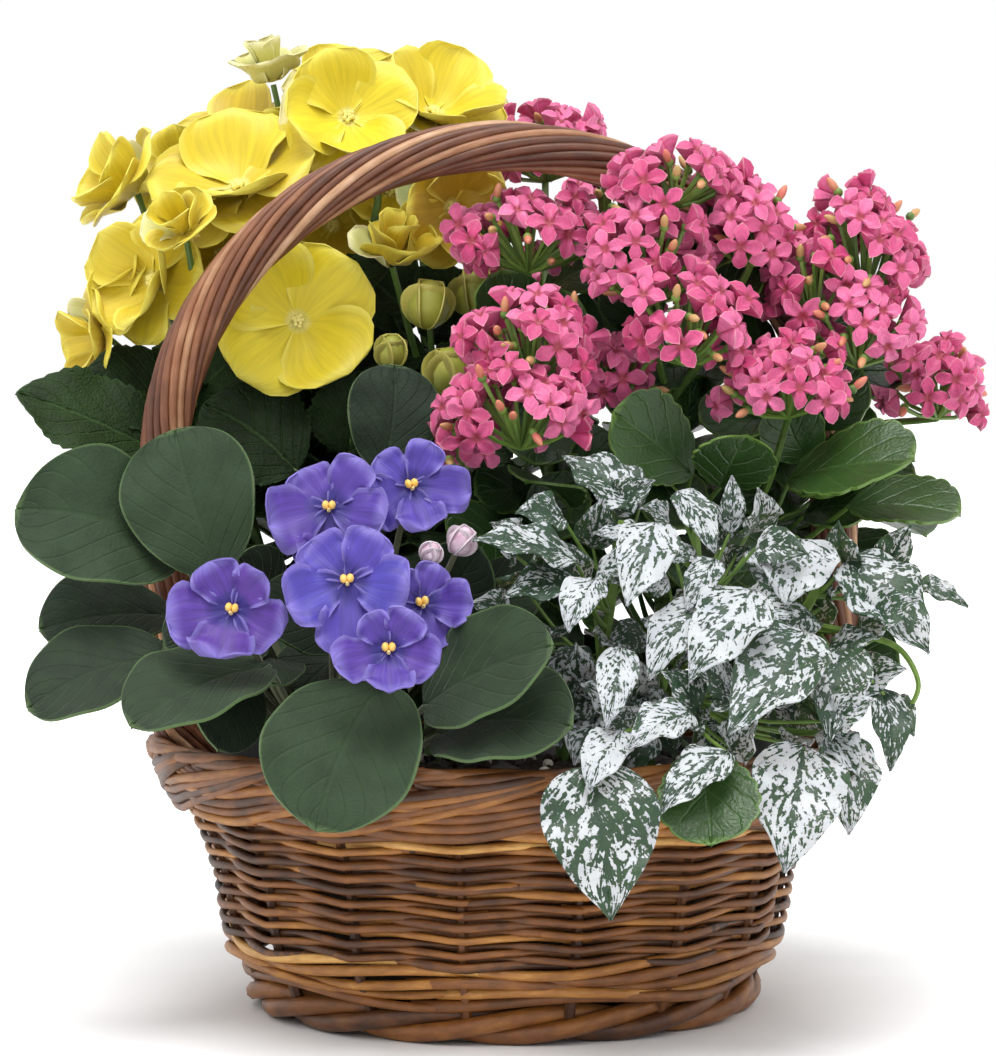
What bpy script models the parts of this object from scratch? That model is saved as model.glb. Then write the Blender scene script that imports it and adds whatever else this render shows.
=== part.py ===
"""A round willow flower basket with a roped bow handle, planted with four pot plants.

Yellow begonia stands back left, pink kalanchoe back right, African violet front left and the white and
green polka-dot plant front right, all in one bed of potting mix in a plastic liner. The basket is a base,
a randed wall, a plaited border, a rope foot and a bow with rods twisted round it. The tables and the
driving dimensions are in millimetres, with the origin under the middle of the base, +X to the right,
+Y to the back and +Z up; each finished mesh is scaled to metres.
"""

import math
from dataclasses import dataclass

import bmesh
import bpy
from mathutils import Matrix, Vector

MM = 0.001
GAP = 0.3  # clearance between pieces that rest on or in each other

# Basket
BASE_RADIUS = 77.0
BASE_HEIGHT = 6.0
FOOT_HEIGHT = 14.0
FOOT_OUTER = 91.5
FOOT_RODS = 16  # turns of the rope border round the foot
STAKES = 16
ROWS = 10  # rows of randing, each shown as one ridge
WEAVE_TOP = 71.0
WALL_TOP = 78.5
WALL_THICK = 6.0
WALL_PROFILE = ((14.3, 92.5), (22.0, 98.0), (34.0, 100.5), (50.0, 103.0), (62.0, 107.0), (WALL_TOP, 114.0))
RIM_TOP = 97.6
RIM_RADIUS = 129.0
RIM_GROUPS = 16  # rod groups plaited round the border
WEAVE_RELIEF = 1.3
PLAIT_RELIEF = 1.6
FOOT_RELIEF = 1.3

# Border section: radius, height, and how far round the rods have slanted there, in groups
BORDER_OUTSIDE = ((RIM_RADIUS, 94.5, 1.0), (127.0, 88.0, 0.5), (122.6, 80.5, 0.0), (116.2, 71.6, 0.75))
BORDER_INSIDE = (
    (114.9, 71.6, 0.75),
    (114.9, 78.9, 0.0),
    (109.6, 78.9, 0.0),
    (121.8, 96.0, 1.0),
    (124.5, RIM_TOP, 1.0),
)

# Handle
HANDLE_HALF_SPAN = 121.0
HANDLE_SPRING = 190.0  # height where the straight legs end and the arch begins
HANDLE_RISE = 116.0
HANDLE_TURN = math.radians(8.0)  # the left leg stands nearer the front
BOW_RADIUS = 4.2
BOW_SIDES = 5
BORE_CLEARANCE = 0.5
WRAP_RADIUS = 9.0
WRAP_GROOVE = 1.6
WRAP_RODS = 6
WRAP_TURNS = 2.5
ARCH_STEPS = 16
BOW_FOOT = 24.0
WRAP_FOOT = 102.5
# One leg as (distance from the middle, height): down inside the wall, out over the border, then upright
LEG = (
    (87.2, BOW_FOOT),
    (90.4, 45.0),
    (94.4, 62.0),
    (100.6, 78.0),
    (107.2, 88.0),
    (113.2, 96.5),
    (116.8, WRAP_FOOT),
    (119.8, 116.0),
    (121.0, 134.0),
    (121.0, 162.0),
)

# Liner and soil
LINER_WALL = 1.0
LINER_TOP = 90.0
LINER_PROFILE = ((6.3, 74.0), (40.0, 81.5), (LINER_TOP, 99.0))
ROUND_STEPS = 16
SOIL_TOP = 84.0
SOIL_GAP = 0.8
HOLE_DEPTH = 26.0
STEM_CLEARANCE = 1.8  # from a stem to the side of its hole

# Blades and stalks
LEAF_THICK = 0.9
PETAL_THICK = 0.8
HEART_RADIUS = 3.4
LARGE_BLOOM = 23.0
PETAL_WIDTH = 0.72  # half width of a begonia petal that lies flat, as a share of its length
SECOND_PAIR_LIFT = 11.0  # how much more a begonia's second pair of petals is raised, in degrees
HEART_BOSS = 1.6  # how far the eye stands up from a flower's heart
CUP_SPREAD = 0.4  # how much a raised petal bulges outwards before it rises
CUP_RISE = 1.4
SEAT_DEPTH = 1.4  # from a bloom's middle back to the end of its stalk
NEARLY_PARALLEL = 0.35
SINK = 2.6  # how far a stalk runs on into its leaf
STALK_SAG = 0.08  # sag of a stalk, as a share of its length
STALK_DROP = 30.0  # how much lower than its end a flower stalk leaves the stem
LEAF_DROP = 22.0  # and a leaf stalk, when its leaf stands higher than LOW_LEAF
LOW_LEAF = 125.0
BEGONIA_STEM = 3.4
KALANCHOE_STEM = 3.2
SPLASH_STEM = 2.2
VIOLET_CROWN_RADIUS = 6.0

# A flower head, in shares of its half widths: its core, the core's flat bottom, star tips and notches
DOME_CORE = 0.66
DOME_FLOOR = 0.57
DOME_SEAT = 0.7  # from that bottom down to the end of the head's stalk
STAR_TIP = 0.47
STAR_NOTCH = 0.27
STAR_DISH = 0.96

LEAF_GREEN = (0.055, 0.095, 0.045)
VIOLET_GREEN = (0.040, 0.070, 0.045)
KALANCHOE_GREEN = (0.060, 0.130, 0.030)
SPLASH_GREEN = (0.480, 0.560, 0.470)
YELLOW = (0.850, 0.640, 0.040)
PINK = (0.780, 0.130, 0.260)
BLUE_VIOLET = (0.120, 0.070, 0.430)
WILLOW = (0.150, 0.055, 0.020)
WILLOW_LIGHT = (0.230, 0.085, 0.035)
PEAT = (0.020, 0.012, 0.008)
BLACK_PLASTIC = (0.012, 0.012, 0.012)

# Outlines of blades: (share of the length, share of the half width) from base to tip
ROUND_LEAF = ((0.1, 0.66), (0.42, 1.0), (0.8, 0.76), (1.0, 0.12))
POINTED_LEAF = ((0.12, 0.66), (0.42, 1.0), (0.76, 0.56), (1.0, 0.06))
TOOTHED_LEAF = ((0.08, 0.62), (0.28, 1.0), (0.4, 0.82), (0.56, 0.94), (0.74, 0.6), (1.0, 0.06))
SCALLOPED_LEAF = ((0.12, 0.6), (0.36, 1.0), (0.5, 0.88), (0.76, 0.86), (1.0, 0.3))
BEGONIA_PETAL = ((0.42, 0.62), (0.76, 1.0), (1.0, 0.62))
SMALL_BEGONIA_PETAL = ((0.6, 0.8), (1.0, 0.7))
VIOLET_PETAL = ((0.6, 1.0), (1.0, 0.62))


@dataclass(frozen=True)
class Leaf:
    """One blade from its base to its tip, with the way its upper face looks."""

    base: tuple
    tip: tuple
    width: float
    face: tuple = (0.0, -0.6, 0.8)
    arch: float = 0.08
    cup: float = 0.12
    via: tuple = ()


@dataclass(frozen=True)
class Bloom:
    """One bloom: its middle, the way it looks, its radius, and how far its petals are raised."""

    name: str
    centre: tuple
    axis: tuple
    radius: float
    lift: float = 25.0
    spin: float = 0.0
    via: tuple = ()


@dataclass(frozen=True)
class Head:
    """One dome of florets: its middle and its half widths along X, Y and Z."""

    centre: tuple
    size: tuple
    via: tuple = ()


@dataclass(frozen=True)
class Stem:
    """One leafy stem: its route from the soil, its leaves, and the seats of what it carries."""

    name: str
    route: tuple
    leaves: tuple
    seats: tuple = ()
    buds: tuple = ()


# ---------------------------------------------------------------- begonia

BEGONIA_BLOOMS = (
    Bloom("begonia_bloom_front", (-74, 17, 244), (0.05, -1.0, 0.1), 28, 20, 45),
    Bloom("begonia_bloom_top_left", (-86, 66, 334), (-0.2, -0.2, 1.0), 16, 66, 10, ((-76, 64, 286),)),
    Bloom("begonia_bloom_top", (-60, 88, 330), (0.1, -0.5, 0.85), 22, 36, 30, ((-66, 88, 280),)),
    Bloom("begonia_bloom_upper", (-57, 44, 319), (0.1, -0.9, 0.4), 24, 30, 20, ((-46, 44, 288),)),
    Bloom("begonia_bloom_upper_right", (-26, 66, 322), (0.3, -0.6, 0.75), 26, 40, 50, ((-30, 68, 270),)),
    Bloom("begonia_bloom_far_right", (-16, 92, 320), (0.6, -0.4, 0.6), 20, 45, 15, ((-12, 84, 270),)),
    Bloom("begonia_bloom_shoulder", (-101, 80, 309), (-0.3, -0.4, 0.9), 25, 38, 0),
    Bloom("begonia_bloom_wide", (-97, 36, 293), (-0.15, -0.6, 0.8), 30, 24, 10),
    Bloom("begonia_bloom_left", (-136, 50, 292), (-0.8, -0.3, 0.55), 22, 50, 20),
    Bloom("begonia_bloom_small", (-114, 5, 276), (-0.3, -0.7, 0.6), 15, 58, 35),
    Bloom("begonia_bloom_low_left", (-127, 26, 259), (-0.6, -0.7, 0.1), 23, 34, 40),
    Bloom("begonia_bloom_lowest", (-146, 38, 238), (-0.8, -0.4, -0.1), 18, 45, 10),
    Bloom("begonia_bloom_inner", (-19, 38, 286), (0.4, -0.85, -0.1), 21, 32, 5, ((-22, 54, 272),)),
    Bloom("begonia_bloom_half_open", (-40, 24, 265), (0.1, -0.4, 0.9), 18, 62, 25),
    Bloom("begonia_bloom_middle", (-64, 66, 280), (0.1, -0.9, 0.3), 19, 28, 15, ((-60, 75, 262),)),
    Bloom("begonia_bloom_back", (-78, 108, 285), (-0.1, 0.9, 0.4), 28, 22, 45),
    Bloom("begonia_bloom_back_left", (-118, 88, 258), (-0.7, 0.6, 0.3), 23, 32, 20),
    Bloom("begonia_bloom_back_right", (-36, 104, 290), (0.2, 0.85, 0.4), 22, 32, 0),
)

BEGONIA_STEMS = (
    Stem(
        "begonia_stem_left",
        ((-66, 30, 58), (-66, 30, 90), (-90, 40, 160), (-104, 46, 212)),
        (
            Leaf((-124, 16, 196), (-174, 2, 218), 42, (-0.1, -0.75, 0.7)),
            Leaf((-112, 30, 214), (-116, 44, 244), 34, (-0.2, -0.9, 0.3)),
            Leaf((-122, 72, 176), (-164, 92, 182), 44, (-0.3, 0.3, 0.9), 0.16),
            Leaf((-116, 38, 152), (-156, 34, 146), 40, (-0.4, -0.4, 0.9), 0.16),
        ),
        (
            "begonia_bloom_wide",
            "begonia_bloom_left",
            "begonia_bloom_small",
            "begonia_bloom_low_left",
            "begonia_bloom_lowest",
            "begonia_bloom_shoulder",
            "begonia_bloom_back_left",
        ),
    ),
    Stem(
        "begonia_stem_middle",
        ((-48, 48, 58), (-48, 48, 90), (-62, 52, 165), (-70, 56, 215)),
        (
            Leaf((-74, 6, 190), (-108, 14, 214), 46, (0.0, -0.8, 0.6)),
            Leaf((-56, 20, 196), (-52, 14, 226), 34, (0.1, -0.9, 0.4)),
            Leaf((-66, 92, 172), (-74, 142, 170), 46, (0.0, 0.3, 0.95), 0.16),
        ),
        (
            "begonia_bloom_front",
            "begonia_bloom_upper",
            "begonia_bloom_top",
            "begonia_bloom_top_left",
            "begonia_bloom_middle",
            "begonia_bloom_back",
        ),
    ),
    Stem(
        "begonia_stem_right",
        ((-26, 38, 58), (-26, 38, 90), (-26, 42, 165), (-24, 44, 212)),
        (
            Leaf((-18, 16, 196), (6, 4, 218), 32, (0.2, -0.9, 0.4)),
            Leaf((-18, 80, 178), (2, 124, 184), 44, (0.1, 0.3, 0.9), 0.16),
        ),
        (
            "begonia_bloom_inner",
            "begonia_bloom_half_open",
            "begonia_bloom_upper_right",
            "begonia_bloom_far_right",
            "begonia_bloom_back_right",
        ),
        (
            ((-27, 14, 250), 9.5),
            ((-10, 30, 254), 10),
            ((-40, 4, 233), 6.5),
            ((-20, 4, 226), 9),
        ),
    ),
)

# ---------------------------------------------------------------- kalanchoe

KALANCHOE_HEADS = {
    "kalanchoe_head_back_top": (Head((16, 76, 308), (23, 20, 18)),),
    "kalanchoe_head_inner": (Head((38, 52, 284), (18, 18, 18)),),
    "kalanchoe_head_left": (Head((9, 2, 272), (28, 20, 18)),),
    "kalanchoe_head_centre": (Head((51, -26, 262), (22, 20, 22)), Head((63, -41, 241), (20, 19, 21))),
    "kalanchoe_head_top": (Head((60, -20, 292), (23, 18, 14), ((67, 4, 262),)),),
    "kalanchoe_head_upper_right": (Head((87, -14, 274), (16, 16, 18)),),
    "kalanchoe_head_right": (
        Head((110, -10, 254), (17, 18, 19)),
        Head((128, -6, 267), (20, 19, 27)),
        Head((125, -15, 240), (20, 18, 21)),
    ),
    "kalanchoe_head_low_right": (Head((99, -36, 221), (23, 19, 18)),),
    "kalanchoe_head_far_right": (Head((156, 8, 220), (18, 18, 18), ((126, 40, 204),)),),
    "kalanchoe_head_low_left": (
        Head((9, -37, 233), (23, 19, 20)),
        Head((6, -50, 211), (23, 19, 19)),
        Head((-13, -44, 203), (12, 13, 17)),
    ),
    "kalanchoe_head_low": (Head((39, -14, 224), (16, 14, 15)),),
    "kalanchoe_head_back": (Head((52, 98, 262), (26, 21, 20)),),
    "kalanchoe_head_back_right": (Head((98, 74, 264), (23, 21, 20)),),
    "kalanchoe_head_back_left": (Head((10, 116, 256), (21, 19, 18)),),
    "kalanchoe_head_back_low": (Head((134, 62, 232), (20, 19, 19)),),
}

KALANCHOE_STEMS = (
    Stem(
        "kalanchoe_stem_left",
        ((22, 32, 58), (22, 32, 90), (18, 22, 165), (16, 16, 210)),
        (
            Leaf((24, -12, 178), (8, -40, 188), 30, (0.0, -0.5, 0.9)),
            Leaf((8, 52, 168), (-6, 92, 160), 38, (0.0, 0.4, 0.9), 0.14),
        ),
        (
            "kalanchoe_head_left",
            "kalanchoe_head_low_left",
            "kalanchoe_head_back_top",
            "kalanchoe_head_back_left",
        ),
    ),
    Stem(
        "kalanchoe_stem_middle",
        ((52, 24, 58), (52, 24, 90), (60, 16, 165), (60, 12, 215)),
        (
            Leaf((66, -26, 190), (38, -42, 212), 34, (0.0, -0.9, 0.4)),
            Leaf((76, -30, 186), (84, -50, 204), 30, (0.2, -0.9, 0.3)),
            Leaf((64, -124, 104), (66, -148, 76), 34, (0.0, -0.9, 0.35), 0.08, 0.0, ((60, -60, 102),)),
            Leaf((46, 76, 166), (40, 120, 160), 42, (0.0, 0.4, 0.9), 0.14),
            Leaf((80, 38, 258), (70, 34, 280), 24, (0.1, -0.9, 0.3)),
        ),
        (
            "kalanchoe_head_centre",
            "kalanchoe_head_top",
            "kalanchoe_head_upper_right",
            "kalanchoe_head_low",
            "kalanchoe_head_inner",
            "kalanchoe_head_back",
        ),
    ),
    Stem(
        "kalanchoe_stem_right",
        ((72, 28, 58), (72, 28, 90), (88, 38, 165), (94, 42, 205)),
        (
            Leaf((100, -30, 188), (140, -58, 196), 42, (0.1, -0.7, 0.7)),
            Leaf((122, -14, 178), (160, -26, 176), 40, (0.2, -0.5, 0.8)),
            Leaf((120, 54, 168), (160, 74, 164), 42, (0.3, 0.3, 0.9), 0.14),
            Leaf((86, 84, 168), (98, 126, 160), 42, (0.1, 0.4, 0.9), 0.14),
        ),
        (
            "kalanchoe_head_right",
            "kalanchoe_head_low_right",
            "kalanchoe_head_far_right",
            "kalanchoe_head_back_right",
            "kalanchoe_head_back_low",
        ),
    ),
)

# ---------------------------------------------------------------- African violet

VIOLET_CROWN = (-58, -48, 92)
VIOLET_LEAVES = (
    Leaf((-110, -62, 163), (-164, -76, 180), 50, (0.1, -0.85, 0.5)),
    Leaf((-96, -74, 158), (-112, -58, 206), 46, (-0.15, -0.9, 0.35)),
    Leaf((-114, -50, 142), (-158, -62, 138), 36, (-0.2, -0.7, 0.7)),
    Leaf((-110, -78, 130), (-158, -94, 114), 38, (-0.2, -0.7, 0.7)),
    Leaf((-78, -92, 128), (-121, -122, 111), 42, (-0.2, -0.6, 0.8)),
    Leaf((-40, -112, 124), (-60, -144, 80), 52, (0.0, -0.8, 0.6)),
    Leaf((-26, -106, 116), (16, -132, 138), 42, (0.3, -0.75, 0.6)),
    Leaf((-22, -104, 106), (22, -134, 112), 44, (0.2, -0.75, 0.65)),
    Leaf((-42, -34, 192), (-38, -24, 228), 33, (0.1, -0.95, 0.2)),
    Leaf((-84, -22, 118), (-98, 18, 130), 40, (-0.2, 0.5, 0.8)),
    Leaf((-36, -16, 112), (-14, 14, 122), 38, (0.2, 0.4, 0.9)),
)
VIOLET_FLOWERS = (
    Bloom("violet_flower_top", (-58, -90, 181), (0.0, -0.95, 0.3), 21, 6, 0),
    Bloom("violet_flower_right", (-31, -82, 188), (0.2, -0.95, 0.25), 18, 6, 10),
    Bloom("violet_flower_middle", (-51, -114, 158), (0.0, -0.95, 0.3), 22, 6, 5),
    Bloom("violet_flower_left", (-89, -106, 148), (-0.15, -0.95, 0.25), 20, 6, -8),
    Bloom("violet_flower_inner_right", (-27, -104, 150), (0.2, -0.95, 0.25), 16, 6, 12),
    Bloom("violet_flower_low", (-37, -132, 137), (0.05, -0.95, 0.3), 17, 6, 0),
)
VIOLET_BUDS = (((-14, -93, 170), 5.5), ((-24, -96, 166), 4.0))

# ---------------------------------------------------------------- polka-dot plant

SPLASH_STEMS = (
    Stem(
        "splash_stem_left",
        ((28, -50, 58), (28, -50, 90), (36, -72, 145), (40, -78, 176)),
        (
            Leaf((46, -72, 180), (20, -62, 197), 22),
            Leaf((50, -78, 168), (30, -84, 172), 14),
            Leaf((24, -95, 163), (-10, -110, 171), 20),
            Leaf((28, -96, 154), (0, -110, 152), 20),
            Leaf((30, -112, 158), (21, -126, 142), 15),
            Leaf((38, -116, 136), (33, -136, 112), 14, (0.0, -0.8, 0.6)),
        ),
    ),
    Stem(
        "splash_stem_middle",
        ((50, -50, 58), (50, -50, 90), (64, -80, 145), (64, -88, 178)),
        (
            Leaf((58, -88, 186), (70, -98, 166), 13, via=((58, -81, 187),)),
            Leaf((76, -78, 172), (77, -74, 191), 9),
            Leaf((50, -100, 176), (40, -120, 150), 21, via=((58, -88, 171), (54, -93, 178))),
            Leaf((70, -102, 164), (60, -112, 148), 12),
            Leaf((66, -108, 150), (47, -122, 126), 18),
            Leaf((82, -106, 154), (60, -128, 126), 26, via=((78, -94, 156),)),
            Leaf((82, -84, 166), (92, -92, 156), 10),
        ),
    ),
    Stem(
        "splash_stem_right",
        ((68, -38, 58), (68, -38, 90), (100, -60, 140), (110, -68, 160)),
        (
            Leaf((99, -90, 170), (93, -106, 149), 28),
            Leaf((116, -72, 162), (142, -88, 132), 30, (0.3, -0.8, 0.5)),
            Leaf((142, -58, 154), (158, -64, 146), 10),
            Leaf((100, -106, 140), (72, -136, 110), 30),
            Leaf((112, -94, 134), (106, -122, 106), 23),
            Leaf((126, -86, 120), (128, -100, 94), 14, (0.3, -0.8, 0.5)),
        ),
    ),
    Stem(
        "splash_stem_front",
        ((42, -66, 58), (42, -66, 90), (52, -90, 112), (58, -104, 120)),
        (
            Leaf((60, -128, 116), (40, -142, 106), 18),
            Leaf((38, -130, 110), (27, -146, 92), 16),
            Leaf((28, -136, 100), (34, -150, 52), 38, (0.0, -0.95, 0.25)),
            Leaf((72, -136, 104), (50, -150, 86), 17),
            Leaf((98, -118, 104), (90, -142, 66), 32, (0.1, -0.9, 0.35)),
            Leaf((112, -104, 106), (112, -124, 76), 22, (0.3, -0.85, 0.4)),
        ),
    ),
)


# ---------------------------------------------------------------- helpers


def clear_scene():
    for obj in list(bpy.data.objects):
        bpy.data.objects.remove(obj, do_unlink=True)
    for collection in list(bpy.data.collections):
        bpy.data.collections.remove(collection)


def make_collection(name):
    collection = bpy.data.collections.new(name)
    bpy.context.scene.collection.children.link(collection)
    return collection


def make_material(name, colour, roughness):
    material = bpy.data.materials.new(name)
    material.use_nodes = True
    shader = material.node_tree.nodes["Principled BSDF"]
    shader.inputs["Base Color"].default_value = (*colour, 1.0)
    shader.inputs["Roughness"].default_value = roughness
    shader.inputs["Metallic"].default_value = 0.0
    return material


def mesh_from(bm, name="piece"):
    bmesh.ops.recalc_face_normals(bm, faces=bm.faces[:])
    mesh = bpy.data.meshes.new(name)
    bm.to_mesh(mesh)
    bm.free()
    return mesh


def evaluated_mesh(obj):
    """The object's mesh with its modifiers applied, as a mesh of its own."""
    graph = bpy.context.evaluated_depsgraph_get()
    graph.update()
    return bpy.data.meshes.new_from_object(obj.evaluated_get(graph))


def finish(name, mesh, material, collection):
    """A named, smooth-shaded object in metres from a mesh in millimetres."""
    mesh.name = name
    mesh.transform(Matrix.Scale(MM, 4))
    mesh.materials.clear()
    mesh.materials.append(material)
    mesh.shade_smooth()
    mesh.set_sharp_from_angle(angle=math.radians(40))
    obj = bpy.data.objects.new(name, mesh)
    collection.objects.link(obj)
    return obj


def fused(meshes):
    """One mesh from several closed ones that run into each other."""
    scene_objects = bpy.context.scene.collection.objects
    others = make_collection("pieces to join")
    objects = [bpy.data.objects.new("piece", mesh) for mesh in meshes]
    scene_objects.link(objects[0])
    for obj in objects[1:]:
        others.objects.link(obj)
    union = objects[0].modifiers.new("join", "BOOLEAN")
    union.operation = "UNION"
    union.operand_type = "COLLECTION"
    union.collection = others
    union.solver = "MANIFOLD"
    mesh = evaluated_mesh(objects[0])
    for obj in objects:
        bpy.data.objects.remove(obj, do_unlink=True)
    bpy.data.collections.remove(others)
    return mesh


def carved(mesh, cutters):
    """The mesh with each closed cutter mesh taken out of it."""
    cutter = fused(cutters)
    body = bpy.data.objects.new("body", mesh)
    tool = bpy.data.objects.new("cutter", cutter)
    for obj in (body, tool):
        bpy.context.scene.collection.objects.link(obj)
    cut = body.modifiers.new("cut", "BOOLEAN")
    cut.operation = "DIFFERENCE"
    cut.object = tool
    cut.solver = "MANIFOLD"
    result = evaluated_mesh(body)
    for obj in (body, tool):
        bpy.data.objects.remove(obj, do_unlink=True)
    return result


def turned(profile, steps, closed):
    """A profile of (radius, height) points turned about Z; a closed one is a ring."""
    mesh = bpy.data.meshes.new("profile")
    edges = [(i, i + 1) for i in range(len(profile) - 1)]
    if closed:
        edges.append((len(profile) - 1, 0))
    mesh.from_pydata([(radius * MM, 0.0, height * MM) for radius, height in profile], edges, [])
    obj = bpy.data.objects.new("profile", mesh)
    bpy.context.scene.collection.objects.link(obj)
    screw = obj.modifiers.new("turn", "SCREW")
    screw.steps = steps
    screw.render_steps = steps
    screw.use_merge_vertices = True
    screw.merge_threshold = 0.00001
    result = evaluated_mesh(obj)
    bpy.data.objects.remove(obj, do_unlink=True)
    result.transform(Matrix.Scale(1 / MM, 4))
    bm = bmesh.new()
    bm.from_mesh(result)
    bmesh.ops.remove_doubles(bm, verts=bm.verts[:], dist=0.01)
    return mesh_from(bm)


def smooth_route(points, per_span=3):
    """Points along a smooth curve through the given ones."""
    knots = [Vector(point) for point in points]
    if len(knots) < 3:
        return knots
    ends = [2 * knots[0] - knots[1]] + knots + [2 * knots[-1] - knots[-2]]
    route = []
    for i in range(1, len(ends) - 2):
        for step in range(per_span):
            t = step / per_span
            a, b, c, d = ends[i - 1 : i + 3]
            bend = (2 * a - 5 * b + 4 * c - d) * t**2 + (3 * b - a - 3 * c + d) * t**3
            route.append(b + 0.5 * ((c - a) * t + bend))
    return route + [knots[-1]]


def tube(points, radius, tip_radius=None, resolution=0):
    """A closed stalk along the points, square for resolution 0 and six-sided for 1."""
    curve = bpy.data.curves.new("tube", "CURVE")
    curve.dimensions = "3D"
    curve.bevel_depth = radius
    curve.bevel_resolution = resolution
    curve.use_fill_caps = True
    spline = curve.splines.new("POLY")
    spline.points.add(len(points) - 1)
    last = len(points) - 1
    shrink = 1.0 if tip_radius is None else tip_radius / radius
    for i, (knot, point) in enumerate(zip(spline.points, points)):
        knot.co = (*point, 1.0)
        knot.radius = 1.0 + (shrink - 1.0) * i / last
    obj = bpy.data.objects.new("tube", curve)
    mesh = bpy.data.meshes.new_from_object(obj)
    bpy.data.objects.remove(obj, do_unlink=True)
    bm = bmesh.new()
    bm.from_mesh(mesh)
    bmesh.ops.remove_doubles(bm, verts=bm.verts[:], dist=0.01)
    return mesh_from(bm)


def loft(rings):
    """A closed solid through the rings of points, with flat ends."""
    bm = bmesh.new()
    loops = [[bm.verts.new(point) for point in ring] for ring in rings]
    for ring, after in zip(loops, loops[1:]):
        for k in range(len(ring)):
            j = (k + 1) % len(ring)
            bm.faces.new((ring[k], ring[j], after[j], after[k]))
    bm.faces.new(loops[0])
    bm.faces.new(loops[-1])
    bmesh.ops.triangulate(bm, faces=bm.faces[:])
    return mesh_from(bm)


def bends_of(start, end, via):
    """The points that a stalk passes on its way: those given, or its sagging middle."""
    sag = Vector((0.0, 0.0, STALK_SAG * (end - start).length))
    return [Vector(point) for point in via] or [(start + end) / 2.0 - sag]


def stalked_blade(leaf, start, outline, stalk_radius, fold):
    """A leaf and its stalk as one strip: round-sided from the start to its base, then flat and wide.

    A folded blade has a midrib lower than its edges; without a fold the blade is flat across.
    """
    base, tip = Vector(leaf.base), Vector(leaf.tip)
    length = (tip - base).length
    along = (tip - base) / length
    side = along.cross(Vector(leaf.face)).normalized()
    up = side.cross(along)
    stalk = [Vector(start)] + bends_of(start, base, leaf.via) + [base]
    rings = []
    after = side
    for i in range(len(stalk) - 1, -1, -1):
        point = stalk[i]
        ahead = stalk[i + 1] if i + 1 < len(stalk) else base + along * SINK
        direction = (ahead - stalk[max(i - 1, 0)]).normalized()
        across = direction.cross(up)
        if across.length < NEARLY_PARALLEL:
            across = direction.cross(along)
        across.normalize()
        if across.dot(after) < 0.0:
            across.negate()
        after = across
        turned = across.cross(direction)
        rings.insert(0, section(point, across, turned, stalk_radius, stalk_radius, 0.0, fold))
    for share, half in outline:
        point = base + along * (share * length) + up * (leaf.arch * length * 4.0 * share * (1.0 - share))
        reach = half * leaf.width / 2.0
        rings.append(section(point, side, up, reach, LEAF_THICK / 2.0, leaf.cup * reach, fold))
    return loft(rings)


def section(point, side, up, half_width, half_thick, rise, fold):
    """One cross section: a rectangle, or with a fold one whose edges stand above its midrib."""
    edge = up * rise
    ring = [point - side * half_width + edge + up * half_thick]
    if fold:
        ring.append(point + up * half_thick)
    ring.append(point + side * half_width + edge + up * half_thick)
    ring.append(point + side * half_width + edge - up * half_thick)
    if fold:
        ring.append(point - up * half_thick)
    ring.append(point - side * half_width + edge - up * half_thick)
    return ring


def ball(centre, radius, scale=(1.0, 1.0, 1.0)):
    bm = bmesh.new()
    bmesh.ops.create_icosphere(bm, subdivisions=1, radius=radius)
    bmesh.ops.scale(bm, vec=scale, verts=bm.verts[:])
    bmesh.ops.translate(bm, vec=centre, verts=bm.verts[:])
    return mesh_from(bm)


def frame_at(centre, axis, spin=0.0):
    """The matrix that puts +Z along the axis at the centre, turned about it by spin degrees."""
    direction = Vector(axis).normalized()
    turn = direction.to_track_quat("Z", "Y").to_matrix().to_4x4()
    return Matrix.Translation(Vector(centre)) @ turn @ Matrix.Rotation(math.radians(spin), 4, "Z")


def nearest_on(route, point):
    return min(route, key=lambda knot: (knot - point).length)


# ---------------------------------------------------------------- basket


def radius_at(profile, height):
    """The radius of a wall at a height, from its (height, radius) stations."""
    for (low, inner), (high, outer) in zip(profile, profile[1:]):
        if height <= high:
            return inner + (outer - inner) * max(0.0, height - low) / (high - low)
    return profile[-1][1]


def wall_radius(height):
    """Outer radius of the randed wall: upright near the foot and flared under the border."""
    return radius_at(WALL_PROFILE, height)


def weave_relief(angle, height, row_height, bottom):
    """How far a row stands out: in front of every other stake, and a groove between rows."""
    level = round((height - bottom) / (row_height / 2))
    if level % 2 == 0:
        return -WEAVE_RELIEF
    stake = round(angle / (math.pi / STAKES))
    if stake % 2:
        return 0.0
    return WEAVE_RELIEF if (stake // 2 + level // 2) % 2 else -0.3 * WEAVE_RELIEF


def basket_wall():
    bottom = FOOT_HEIGHT + GAP
    row_height = (WEAVE_TOP - bottom) / ROWS
    outer = [(wall_radius(WALL_TOP), WALL_TOP)]
    for level in range(2 * ROWS, -1, -1):
        height = bottom + level * row_height / 2
        outer.append((wall_radius(height), height))
    inner = [(wall_radius(height) - WALL_THICK, height) for height in (bottom, 24.0, 56.0, WALL_TOP)]
    mesh = turned(outer + inner, 2 * STAKES, True)
    for vert in mesh.vertices:
        radius = math.hypot(vert.co.x, vert.co.y)
        if vert.co.z > WEAVE_TOP + 0.1 or radius < wall_radius(vert.co.z) - 1.0:
            continue
        angle = math.atan2(vert.co.y, vert.co.x) % math.tau
        grown = 1.0 + weave_relief(angle, vert.co.z, row_height, bottom) / radius
        vert.co.x *= grown
        vert.co.y *= grown
    return mesh


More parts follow.
